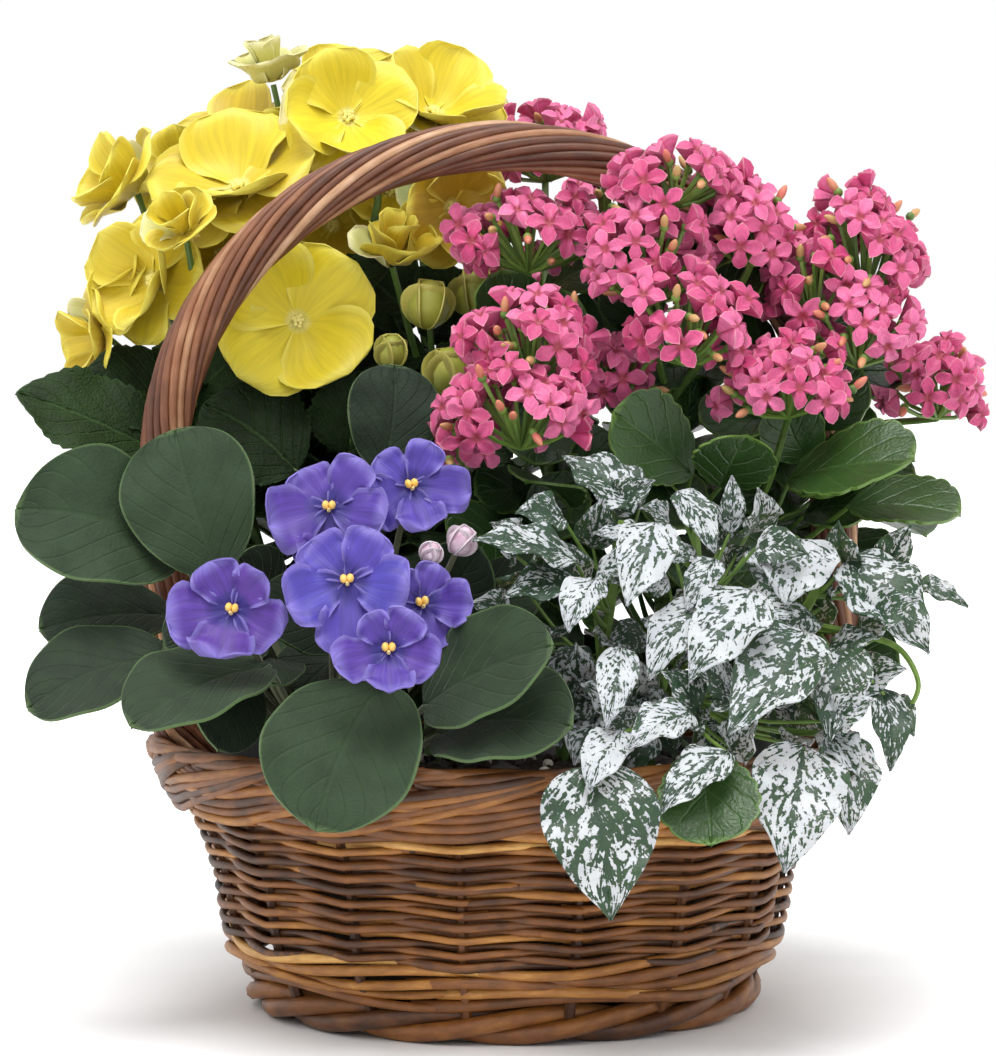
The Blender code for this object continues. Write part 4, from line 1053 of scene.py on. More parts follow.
    def border_rods(self, rng: random.Random) -> list[Rod]:
        """The plait: one family of rod groups falls under it, and a second sweeps up over it to the rim."""
        rods = []
        for group in range(self.border_groups):
            first = self.first_stake + group * math.tau / self.border_groups
            lift = rng.uniform(-0.8, 0.8)
            rods += [self.falling_rod(first, k, lift, rng) for k in range(4)]
            rods += [self.sweeping_rod(first, k, rng) for k in range(4)]
        angles = np.linspace(0.0, math.tau, 150)
        for k in range(3):
            turn = self.border_groups / 2.0 * angles + k * math.tau / 3.0
            heights = self.rim_top - 2.6 + 1.2 * np.sin(turn)
            route = self.ring(angles, self.rim_radius + 2.0 * np.cos(turn), heights)
            rods.append(Rod(route, self.border_rod, self.border_rod, 0.4 + 0.08 * k, 2))
        return rods

    def foot_rods(self, rng: random.Random) -> list[Rod]:
        """The rope that the basket stands on: three strands twisted round each other."""
        rods = []
        angles = np.linspace(0.0, math.tau, 260)
        for strand in range(3):
            turn = 5.0 * angles + strand * math.tau / 3.0
            radii = self.rope_radius + self.rope_twist * np.cos(turn)
            heights = 7.0 + 3.5 * np.sin(turn)
            route = self.ring(angles, radii, heights)
            rods.append(Rod(route, self.rope_rod, self.rope_rod, rng.uniform(0.3, 0.6), 2))
        return rods

    def base_rods(self, rng: random.Random) -> list[Rod]:
        """The base: rings of rod woven over and under its sticks."""
        rods = []
        angles = np.linspace(0.0, math.tau, 97)
        for ring in range(17):
            radii = np.full(angles.shape, 10.5 + 3.95 * ring)
            heights = self.base_height + 0.9 * np.cos(self.base_sticks * angles + math.pi * ring)
            route = self.ring(angles, radii, heights)
            rods.append(Rod(route, self.base_rod, self.base_rod, rng.uniform(0.2, 0.7)))
        lift = np.array((0.0, 0.0, self.base_height))
        for k in range(self.base_sticks):
            angle = k * math.pi / self.base_sticks + 0.196
            out = np.array((math.cos(angle), math.sin(angle), 0.0)) * 75.0
            rods.append(Rod(smooth_route([lift - out, lift + out], 8), 1.8, 1.8, 0.5))
        return rods

    def build(self) -> None:
        """Makes the pieces of the basket."""
        rng = random.Random(11)
        pieces = (
            ("woven_wall", "basket_wall", (self.woven_rods, self.upsett_rods, self.stake_rods)),
            ("plaited_border", "basket_border", (self.border_rods,)),
            ("foot_rope", "basket_foot", (self.foot_rods,)),
            ("woven_base", "basket_base", (self.base_rods,)),
        )
        for name, node, families in pieces:
            rods = [rod for family in families for rod in family(rng)]
            finish_piece(name, make_rods(rods, BROWN_WILLOW), [node])


@dataclass(frozen=True)
class Handle:
    """The bow: a stout rod from inside one wall to the other, with thin rods twisted round it."""

    half_span: float = 121.0
    spring: float = 190.0
    rise: float = 116.0
    turn: float = math.radians(8.0)
    bow_radius: float = 4.2
    wrap_rods: int = 16
    wrap_radius: float = 7.3
    rod_radius: float = 1.6
    turns: float = 2.5
    leg: Pairs = (
        (87.2, 24.0), (90.4, 45.0), (94.4, 62.0), (100.6, 78.0), (107.2, 88.0),
        (113.2, 96.5), (116.8, 102.5), (119.8, 116.0), (121.0, 134.0), (121.0, 162.0),
    )

    def route(self, foot: float) -> np.ndarray:
        """Gives the bow's middle line from a height on the left leg to the same height on the right one."""
        left = [(-x, 0.0, z) for x, z in self.leg if z >= foot]
        arch = [
            (self.half_span * math.cos(angle), 0.0, self.spring + self.rise * math.sin(angle))
            for angle in np.linspace(math.pi, 0.0, 17)
        ]
        right = [(-x, y, z) for x, y, z in reversed(left)]
        return moved(smooth_route(left + arch + right, 5), Matrix.Rotation(self.turn, 4, "Z"))

    def twisted(self, rng: random.Random) -> list[Rod]:
        """The thin rods, side by side on a screw line round the bow."""
        middle = self.route(88.0)
        ahead = np.gradient(middle, axis=0)
        ahead /= np.linalg.norm(ahead, axis=1)[:, None]
        plane = np.array((math.sin(self.turn), -math.cos(self.turn), 0.0))
        out = np.cross(plane, ahead)
        share = np.concatenate([[0.0], np.cumsum(np.linalg.norm(np.diff(middle, axis=0), axis=1))])
        share /= share[-1]
        rods = []
        for k in range(self.wrap_rods):
            angle = k * math.tau / self.wrap_rods + share * self.turns * math.tau
            offset = self.wrap_radius + 0.25 * np.sin(share * 40.0 + k * 2.3)
            route = middle + (offset * np.cos(angle))[:, None] * plane
            route = route + (offset * np.sin(angle))[:, None] * out
            radius = self.rod_radius * rng.uniform(0.88, 1.08)
            rods.append(Rod(route, radius, radius, drawn_tone(rng, 0.45, 0.22, 0.0, 1.0), 2))
        return rods

    def build(self) -> None:
        """Makes the bow and its wrapping."""
        rng = random.Random(23)
        bow = make_rods([Rod(self.route(24.0), self.bow_radius, self.bow_radius, 0.3, 2)], BROWN_WILLOW)
        finish_piece("bow_rod", bow, ["handle_bow"])
        wrap = make_rods(self.twisted(rng), BUFF_WILLOW)
        finish_piece("twisted_rods", wrap, ["handle_wrap"])


@dataclass(frozen=True)
class Filling:
    """What the basket holds: the creased liner and the bed of potting mix."""

    liner: Pairs = ((6.9, 73.5), (40.0, 81.0), (90.0, 98.5))
    film: float = 0.6
    soil_top: float = 84.0
    soil_radius: float = 95.0
    soil_foot: float = 76.0
    soil_low: float = 7.6
    lumps: int = 240

    def liner_sheet(self) -> bpy.types.Object:
        """The film: a cup with creases down its side and an uneven top edge."""
        mesh, _, _ = sheet_mesh(Form(1.0, 1.0, 1.0, columns=96, rows=14))
        grid = vertices_of(mesh)
        angles = grid[:, 0] * math.pi
        level = (grid[:, 1] + 1.0) / 2.0
        # The first 15 % of the sheet is the cup's bottom, and the rest is its side.
        flat = level < 0.15
        heights, radii = zip(*self.liner)
        top = heights[-1] + 1.6 * np.sin(5.0 * angles) - 1.4 * np.cos(9.0 * angles)
        height = np.where(flat, heights[0], heights[0] + (top - heights[0]) * (level - 0.15) / 0.85)
        crease = 0.5 * np.sin(23.0 * angles + 2.0 * level) * level
        radius = np.where(flat, radii[0] * level / 0.15, np.interp(height, heights, radii)) + crease
        radius = np.maximum(radius, 0.05)
        write_vertices(mesh, np.stack([radius * np.cos(angles), radius * np.sin(angles), height], 1))
        sheet = new_object(dress(mesh, 0.4, LINER_FILM))
        select_only([sheet])
        bpy.ops.object.mode_set(mode="EDIT")
        bpy.ops.mesh.select_all(action="SELECT")
        bpy.ops.mesh.remove_doubles(threshold=0.00008)
        bpy.ops.mesh.normals_make_consistent(inside=False)
        bpy.ops.object.mode_set(mode="OBJECT")
        return thickened([sheet], self.film)

    def soil_disc(self) -> None:
        """Models a disc of radius and height one whose upper face is inset into rings."""
        bpy.ops.mesh.primitive_cylinder_add(vertices=96, radius=1.0, depth=1.0, end_fill_type="NGON")
        select_top()
        for _ in range(18):
            bpy.ops.mesh.inset(thickness=0.05, depth=0.0)
        bpy.ops.object.mode_set(mode="OBJECT")

    def soil_bed(self, rng: random.Random) -> bpy.types.Object:
        """The bed: a closed disc with a crumbly top."""
        mesh = STENCILS.copy("soil", self.soil_disc)
        points = vertices_of(mesh)
        radius = np.hypot(points[:, 0], points[:, 1])
        angle = np.arctan2(points[:, 1], points[:, 0])
        top = points[:, 2] > 0.0
        bumps = 1.2 * np.sin(radius * 41.0 + 3.0 * angle) + 0.9 * np.sin(17.0 * angle + 29.0 * radius)
        noise = np.array([rng.uniform(-0.8, 0.8) for _ in range(len(points))])
        crumbly = self.soil_top - 1.5 + np.where(radius < 0.97, bumps + noise, 0.0)
        points[:, :2] *= np.where(top, self.soil_radius, self.soil_foot)[:, None]
        points[:, 2] = np.where(top, crumbly, self.soil_low)
        write_vertices(mesh, points)
        return new_object(dress(mesh, 0.45, PEAT))

    def crumbs(self, rng: random.Random) -> list[bpy.types.Object]:
        """Lumps of peat and bits of perlite on the bed."""
        made = []
        for k in range(self.lumps):
            reach = self.soil_radius * 0.95 * math.sqrt(rng.random())
            angle = rng.uniform(0.0, math.tau)
            height = self.soil_top + rng.uniform(-1.0, 0.8)
            centre = (reach * math.cos(angle), reach * math.sin(angle), height)
            size = rng.uniform(1.0, 2.6)
            axis = (rng.uniform(-1, 1), rng.uniform(-1, 1), rng.uniform(-1, 1) + 0.01)
            finish = PERLITE if k % 4 == 0 else PEAT
            radii = (size, size * rng.uniform(0.6, 1.0), size * rng.uniform(0.5, 0.9))
            made.append(ball(turn_to(centre, axis), radii, rng.uniform(0.2, 0.8), finish))
        return made

    def build(self) -> None:
        """Makes the liner and the bed."""
        rng = random.Random(5)
        finish_piece("liner_sheet", [self.liner_sheet()], ["plastic_liner"])
        finish_piece("soil_bed", [self.soil_bed(rng), *self.crumbs(rng)], ["potting_mix"])


# ---------------------------------------------------------------- plants


@dataclass(frozen=True)
class Bloom:
    """One bloom: its middle, the way it looks, its radius and how far its petals are raised."""

    name: str
    centre: Point
    axis: Point
    radius: float
    lift: float = 25.0
    spin: float = 0.0
    tone: float = 0.3
    via: tuple[Point, ...] = ()
    pale: bool = False

    def seat(self) -> np.ndarray:
        """Gives the point just behind the middle, where the stalk ends."""
        return np.array(self.centre) - np.array(Vector(self.axis).normalized()) * 1.4


@dataclass(frozen=True)
class Stem:
    """One leafy stem: its root, two points higher up, its leaves, and the names of what it carries."""

    name: str
    root: tuple[float, float]
    upper: tuple[Point, ...]
    leaves: tuple[Leaf, ...]
    seats: tuple[str, ...] = ()
    buds: tuple[tuple[Point, float], ...] = ()

    def route(self, steps: int = 8) -> np.ndarray:
        """Gives the stem's curve, upright in the soil and then through its upper points."""
        return smooth_route([(*self.root, HOLE_FLOOR), (*self.root, HOLE_RIM), *self.upper], steps)


def petal(
    bloom: Bloom,
    angle: float,
    lift: float,
    size: tuple[float, float],
    form: Form,
    finish: Finish,
    rng: random.Random,
) -> bpy.types.Object:
    """Makes one petal, curved up from the flower's heart.

    Args:
        bloom: The flower that it belongs to.
        angle: Its direction round the heart, in radians.
        lift: How far it is raised, in degrees.
        size: Its length and its half width, in millimetres.
        form: Its kind.
        finish: Its surface.
        rng: Draws its waves and its tone.

    Returns:
        The petal as a thin sheet.
    """
    mesh, along, across = sheet_mesh(form)
    length, half = size
    tilt = math.radians(lift)
    side = np.array((-math.sin(angle), math.cos(angle), 0.0))
    reach = math.cos(tilt) * along ** (1.0 - 0.4 * math.sin(tilt)) * length
    height = math.sin(tilt) * along**1.4 * length
    rise = form.rise(along, across, half, rng.uniform(0.0, math.tau))
    folds = np.sin(4.0 * across + rng.uniform(0.0, math.tau))
    rise += form.ruffle * half * along**3 * form.half_width(along) * folds
    rise -= form.curl * length * (np.clip(along - 0.5, 0.0, 0.5) / 0.5) ** 2
    width = form.half_width(along) * half * across
    turn = angle + form.wrap * np.clip(width / np.maximum(reach, 0.12 * length), -1.3, 1.3)
    out = np.stack([np.cos(turn), np.sin(turn), np.zeros_like(turn)], 1)
    lean = np.array((0.0, 0.0, math.cos(tilt))) - out * math.sin(tilt)
    points = reach[:, None] * out + np.outer((1.0 - form.wrap) * width, side) + rise[:, None] * lean
    points[:, 2] += height
    write_vertices(mesh, moved(points, turn_to(bloom.centre, bloom.axis, bloom.spin)))
    tone = min(max(bloom.tone + rng.uniform(-0.12, 0.12), 0.0), 1.0)
    return make_sheet(mesh, along, across, tone, finish)


def closed_bud(
    centre: Point, axis: Point, half_height: float, finishes: tuple[Finish, Finish], rng: random.Random
) -> list[bpy.types.Object]:
    """Makes a closed bud: petals folded up round each other.

    Args:
        centre: Its middle.
        axis: The way that it points.
        half_height: Half its length, in millimetres.
        finishes: The finish of its petals and that of what they hold.
        rng: Draws its turn and its tone.

    Returns:
        The petals and the filling.
    """
    size = half_height * 1.9
    foot = np.array(centre) - np.array(Vector(axis).normalized()) * half_height * 0.95
    bloom = Bloom("bud", tuple(foot), axis, size, 70, rng.uniform(0, 90), rng.uniform(0.2, 0.9))
    form = Form(0.5, 2.4, 0.5, 8, 10, cup=0.5)
    shape = (size, half_height * 1.05)
    sheets = [petal(bloom, k * math.tau / 3.0, 74.0, shape, form, finishes[0], rng) for k in range(3)]
    radii = (0.85 * half_height, 0.85 * half_height, 0.98 * half_height)
    return [thickened(sheets, 0.5), ball(turn_to(centre, axis), radii, 0.6, finishes[1])]


def leaf_set(
    stem_route: np.ndarray,
    leaves: Sequence[Leaf],
    form: Form,
    finishes: tuple[Finish, Finish],
    radius: float,
    rng: random.Random,
) -> tuple[list[bpy.types.Object], list[Rod]]:
    """Makes the blades of a stem's leaves and the rods of their stalks and midribs.

    Args:
        stem_route: The stem's middle line.
        leaves: The leaves.
        form: Their kind.
        finishes: The finish of the blades and that of the stalks.
        radius: The radius of a stalk.
        rng: Draws the small bends.

    Returns:
        The blades, and the stalks that are still to be made.
    """
    blades, rods = [], []
    for leaf in leaves:
        blades.append(leaf_blade(leaf, form, finishes[0], rng))
        drop = 22.0 if leaf.base[2] > 125.0 else 0.0
        start = nearest_on(stem_route, (leaf.base[0], leaf.base[1], leaf.base[2] - drop))
        line = stalk(start, np.array(leaf.base, float), leaf.via)
        _, _, up, _ = leaf.axes()
        below = leaf.middle_line(np.linspace(0.04, 0.75, 8)) - up * (0.5 * radius + 0.15)
        rods.append(Rod(np.vstack([line, below]), radius, 0.3 * radius, rng.uniform(0.2, 0.6)))
    return blades, rods


@dataclass(frozen=True)
class Whorl:
    """Leaves drawn round a stem between two heights, for its sides that the tables leave bare."""

    count: int
    low: float
    high: float
    length: float
    width: float

    def leaves(self, stem: Stem, rng: random.Random) -> list[Leaf]:
        """Draws the leaves of a stem, from its left side round the back to its right side."""
        route = stem.route(12)
        leaves = []
        for k in range(self.count):
            height = self.low + (self.high - self.low) * (k + 0.5) / self.count
            stand = nearest_on(route, (*stem.upper[-1][:2], height))
            angle = math.radians(-10.0 + 200.0 * ((k * 0.618 + rng.uniform(-0.08, 0.08)) % 1.0))
            out = np.array((math.cos(angle), math.sin(angle), 0.0))
            size = rng.uniform(0.82, 1.1)
            base = stand + out * rng.uniform(16.0, 26.0) + np.array((0.0, 0.0, rng.uniform(2.0, 10.0)))
            tip = base + out * self.length * size * 0.92 + np.array((0.0, 0.0, rng.uniform(-16.0, 10.0)))
            face = (0.35 * out[0], 0.35 * out[1], 0.9)
            arch = rng.uniform(0.08, 0.18)
            tone = rng.uniform(0.1, 0.7)
            leaves.append(Leaf(tuple(base), tuple(tip), self.width * size, face, arch, (), tone, True))
        return leaves


@dataclass(frozen=True)
class Thicket:
    """Leaves spread evenly through a box, turned to the front, for the shaded inside of a plant."""

    low: Point
    high: Point
    count: int
    length: float
    width: float
    # By default the leaves take the darker greens of their finish: painted shade for the shaded inside of the
    # plant.
    tones: tuple[float, float] = (0.0, 0.4)

    def leaves(self, rng: random.Random) -> list[Leaf]:
        """Draws the leaves: each points away from the middle of the box."""
        low, high = np.array(self.low, float), np.array(self.high, float)
        middle = (low + high) / 2.0
        made = []
        for k in range(self.count):
            shares = np.array(((k * 0.618 + 0.31) % 1.0, rng.random(), (k + rng.random()) / self.count))
            spot = low + shares * (high - low)
            away = (spot - middle) / (high - low)
            aside = 1.4 * away[0] + rng.uniform(-0.5, 0.5)
            ahead = np.array((aside, -0.45, away[2] + rng.uniform(-0.4, 0.5)))
            size = rng.uniform(0.8, 1.15)
            ahead *= self.length * size / np.linalg.norm(ahead)
            face = (rng.uniform(-0.35, 0.35), -0.8, rng.uniform(0.25, 0.7))
            tone = rng.uniform(*self.tones)
            base, tip = spot - ahead / 2.0, spot + ahead / 2.0
            arch = rng.uniform(0.04, 0.14)
            made.append(Leaf(tuple(base), tuple(tip), self.width * size, face, arch, (), tone, True))
        return made


@dataclass(frozen=True)
class Begonia:
    """The yellow begonia: three leafy stems, eighteen blooms and a few buds."""

    stem_radius: float = 3.4
    petal: Form = Form(
        0.75, 5.0, 0.5, 12, 13, cup=0.0, ruffle=0.12, waves=1.2, groove=0.2, wrap=0.9, curl=0.1
    )
    leaf: Form = Form(
        0.5, 1.7, 0.75, 12, 56, Edge.TOOTHED,
        cuts=14.0, depth=0.1, cup=0.14, groove=0.9, quilt=0.6, slant=0.4, ruffle=0.09, waves=2.4,
    )
    whorl: Whorl = Whorl(12, 104.0, 205.0, 44.0, 40.0)
    # A bloom's tone mixes its yellow petals towards the ochre of painted shade. The front and top blooms take
    # little of it, and the inner one under the handle takes the most.
    blooms: tuple[Bloom, ...] = (
        Bloom("front", (-74, 17, 244), (0.05, -1.0, 0.1), 28, 20, 45, 0.1),
        Bloom("top_left", (-86, 66, 334), (-0.2, -0.2, 1.0), 16, 66, 10, 0.4, ((-76, 64, 286),), True),
        Bloom("top", (-60, 88, 330), (0.1, -0.5, 0.85), 22, 36, 30, 0.15, ((-66, 88, 280),)),
        Bloom("upper", (-57, 44, 319), (0.1, -0.9, 0.4), 24, 30, 20, 0.1, ((-46, 44, 288),)),
        Bloom("upper_right", (-26, 66, 322), (0.3, -0.6, 0.75), 26, 40, 50, 0.15, ((-30, 68, 270),)),
        Bloom("far_right", (-16, 92, 320), (0.6, -0.4, 0.6), 20, 45, 15, 0.2, ((-12, 84, 270),), True),
        Bloom("shoulder", (-101, 80, 309), (-0.3, -0.4, 0.9), 25, 38, 0, 0.6),
        Bloom("wide", (-97, 36, 293), (-0.15, -0.6, 0.8), 30, 24, 10, 0.35),
        Bloom("left", (-136, 50, 292), (-0.8, -0.3, 0.55), 22, 50, 20, 0.35),
        Bloom("small", (-114, 5, 276), (-0.3, -0.7, 0.6), 15, 58, 35, 0.4),
        Bloom("low_left", (-127, 26, 259), (-0.6, -0.7, 0.1), 23, 34, 40, 0.35),
        Bloom("lowest", (-146, 38, 238), (-0.8, -0.4, -0.1), 18, 45, 10, 0.5),
        # Painted shade: this bloom lies under the handle, in its shadow, and its tone of 0.95 paints that
        # shadow as ochre.
        Bloom("inner", (-19, 38, 286), (0.4, -0.85, -0.1), 21, 32, 5, 0.95, ((-22, 54, 272),)),
        Bloom("half_open", (-40, 24, 265), (0.1, -0.4, 0.9), 18, 62, 25, 0.55),
        Bloom("middle", (-64, 66, 280), (0.1, -0.9, 0.3), 19, 28, 15, 0.7, ((-60, 75, 262),)),
        Bloom("back", (-78, 108, 285), (-0.1, 0.9, 0.4), 28, 22, 45, 0.2),
        Bloom("back_left", (-118, 88, 258), (-0.7, 0.6, 0.3), 23, 32, 20, 0.4),
        Bloom("back_right", (-36, 104, 290), (0.2, 0.85, 0.4), 22, 32, 0, 0.3),
    )
    between: tuple[Bloom, ...] = (
        Bloom("upper", (-80, 62, 302), (0.1, -0.9, 0.45), 21, 30, 30, 0.3),
        Bloom("left", (-119, 64, 299), (-0.4, -0.7, 0.6), 18, 36, 10, 0.3),
        Bloom("small", (-103, 34, 268), (-0.1, -0.8, 0.5), 17, 34, 50, 0.5),
        Bloom("inner", (-42, 60, 293), (0.1, -0.9, 0.25), 18, 30, 20, 0.6),
        Bloom("low_left", (-137, 40, 262), (-0.6, -0.6, 0.4), 15, 44, 20, 0.3),
    )
    stems: tuple[Stem, ...] = (
        Stem(
            "left", (-66, 30), ((-90, 40, 160), (-104, 46, 212)),
            (
                Leaf((-124, 16, 196), (-174, 2, 218), 42, (-0.1, -0.75, 0.7), tone=0.3),
                Leaf((-112, 30, 214), (-116, 44, 244), 34, (-0.2, -0.9, 0.3)),
                Leaf((-122, 72, 176), (-164, 92, 182), 44, (-0.3, 0.3, 0.9), 0.16),
                Leaf((-116, 38, 152), (-156, 34, 146), 40, (-0.4, -0.4, 0.9), 0.16),
            ),
            ("wide", "left", "small", "low_left", "lowest", "shoulder", "back_left"),
        ),
        Stem(
            "middle", (-48, 48), ((-62, 52, 165), (-70, 56, 215)),
            (
                Leaf((-74, 6, 190), (-108, 14, 214), 46, (0.0, -0.8, 0.6), tone=0.1),
                Leaf((-56, 20, 196), (-52, 14, 226), 34, (0.1, -0.9, 0.4), tone=0.2),
                Leaf((-66, 92, 172), (-74, 142, 170), 46, (0.0, 0.3, 0.95), 0.16),
            ),
            ("front", "upper", "top", "top_left", "middle", "back"),
        ),
        Stem(
            "right", (-26, 38), ((-26, 42, 165), (-24, 44, 212)),
            (
                Leaf((-18, 16, 196), (6, 4, 218), 32, (0.2, -0.9, 0.4), tone=0.1),
                Leaf((-18, 80, 178), (2, 124, 184), 44, (0.1, 0.3, 0.9), 0.16),
            ),
            ("inner", "half_open", "upper_right", "far_right", "back_right"),
            (((-27, 14, 250), 9.5), ((-10, 30, 254), 10), ((-40, 4, 233), 6.5), ((-20, 4, 226), 9)),
        ),
    )
    thickets: tuple[Thicket, ...] = (
        Thicket((-140, 24, 140), (-92, 48, 226), 13, 40, 36),
        Thicket((-104, 34, 120), (-44, 56, 256), 18, 40, 36),
        Thicket((-46, 22, 110), (6, 52, 260), 20, 34, 30),
    )

    def bloom(self, bloom: Bloom, rng: random.Random) -> list[bpy.types.Object]:
        """Makes a bloom: two broad petals, two raised over them, and the pale stamens in its heart."""
        finish = PALE_PETAL if bloom.pale else YELLOW_PETAL
        wide = bloom.radius * (0.1 + 0.72 * math.cos(math.radians(bloom.lift)))
        sheets = []
        for k in range(4):
            unrest = 3.0 if bloom.lift > 26 else 1.0
            lift = bloom.lift + (11.0 if k % 2 else 0.0) + rng.uniform(-3.0, 3.0) * unrest
            length = bloom.radius * rng.uniform(1.06, 1.16)
            angle = k * math.pi / 2.0 + rng.uniform(-0.08, 0.08)
            sheets.append(petal(bloom, angle, lift, (length, wide), self.petal, finish, rng))
        # The petals behind spread wider than the inner ones, and fill the bunch between the blooms.
        for k in range(4 if bloom.lift > 22 else 2):
            lift = max(bloom.lift - 24.0, 2.0) + rng.uniform(-5.0, 5.0)
            size = (bloom.radius * rng.uniform(1.04, 1.16), bloom.radius * 0.8)
            angle = (k + 0.5) * math.pi / 2.0 + rng.uniform(-0.2, 0.2)
            sheets.append(petal(bloom, angle, lift, size, self.petal, PALE_PETAL if k == 1 else finish, rng))
        parts = [thickened(sheets, 0.36)]
        place = turn_to(bloom.centre, bloom.axis, bloom.spin)
        for k in range(9):
            reach = 2.2 * math.sqrt((k + 0.5) / 9.0)
            spot = (reach * math.cos(k * GOLDEN_ANGLE), reach * math.sin(k * GOLDEN_ANGLE), 1.9 - 0.2 * reach)
            parts.append(ball(place @ Matrix.Translation(spot), (0.9, 0.9, 1.0), 0.3, STAMEN))
        return parts

    def build(self) -> None:
        """Makes the blooms, the buds and the leafy stems."""
        rng = random.Random(31)
        seats = {bloom.name: bloom for bloom in self.blooms}
        for bloom in self.blooms:
            node = "begonia_bloom_" + bloom.name
            parts = self.bloom(bloom, rng)
            for beside in self.between:
                if beside.name == bloom.name:
                    parts += self.bloom(beside, rng)
            finish_piece("petals_" + node, parts, [node])
        for number, (stem, thicket) in enumerate(zip(self.stems, self.thickets)):
            route = stem.route()
            behind = self.whorl.leaves(stem, random.Random(40 + number))
            leaves = [*stem.leaves, *behind, *thicket.leaves(rng)]
            blades, rods = leaf_set(route, leaves, self.leaf, (BEGONIA_LEAF, GREEN_STALK), 1.5, rng)
            rods.append(Rod(route, self.stem_radius, 0.7 * self.stem_radius, 0.4, 2))
            for name in stem.seats:
                rods.append(flower_stalk(route, seats[name].seat(), seats[name].via, 1.6, 1.2))
            buds = []
            for centre, half_height in stem.buds:
                rods.append(flower_stalk(route, np.array(centre, float), (), 1.4, 1.1))
                axis = (rng.uniform(-0.2, 0.2), rng.uniform(-0.5, -0.1), 1.0)
                buds += closed_bud(centre, axis, half_height, (BUD_PETAL, CREAM_BUD), rng)
            parts = [thickened(blades, 0.6), *make_rods(rods, GREEN_STALK), *buds]
            node = "begonia_stem_" + stem.name
            finish_piece("foliage_begonia_" + stem.name, parts, [node])


@dataclass(frozen=True)
class Dome:
    """One dome of florets: its middle and its half widths along X, Y and Z."""

    centre: Point
    size: Point
    via: tuple[Point, ...] = ()

    def foot(self) -> np.ndarray:
        """Gives the point under the dome where the stalks of its florets meet."""
        return np.array(self.centre, float) - np.array((0.0, 0.0, 0.57 * self.size[2] + 0.7))


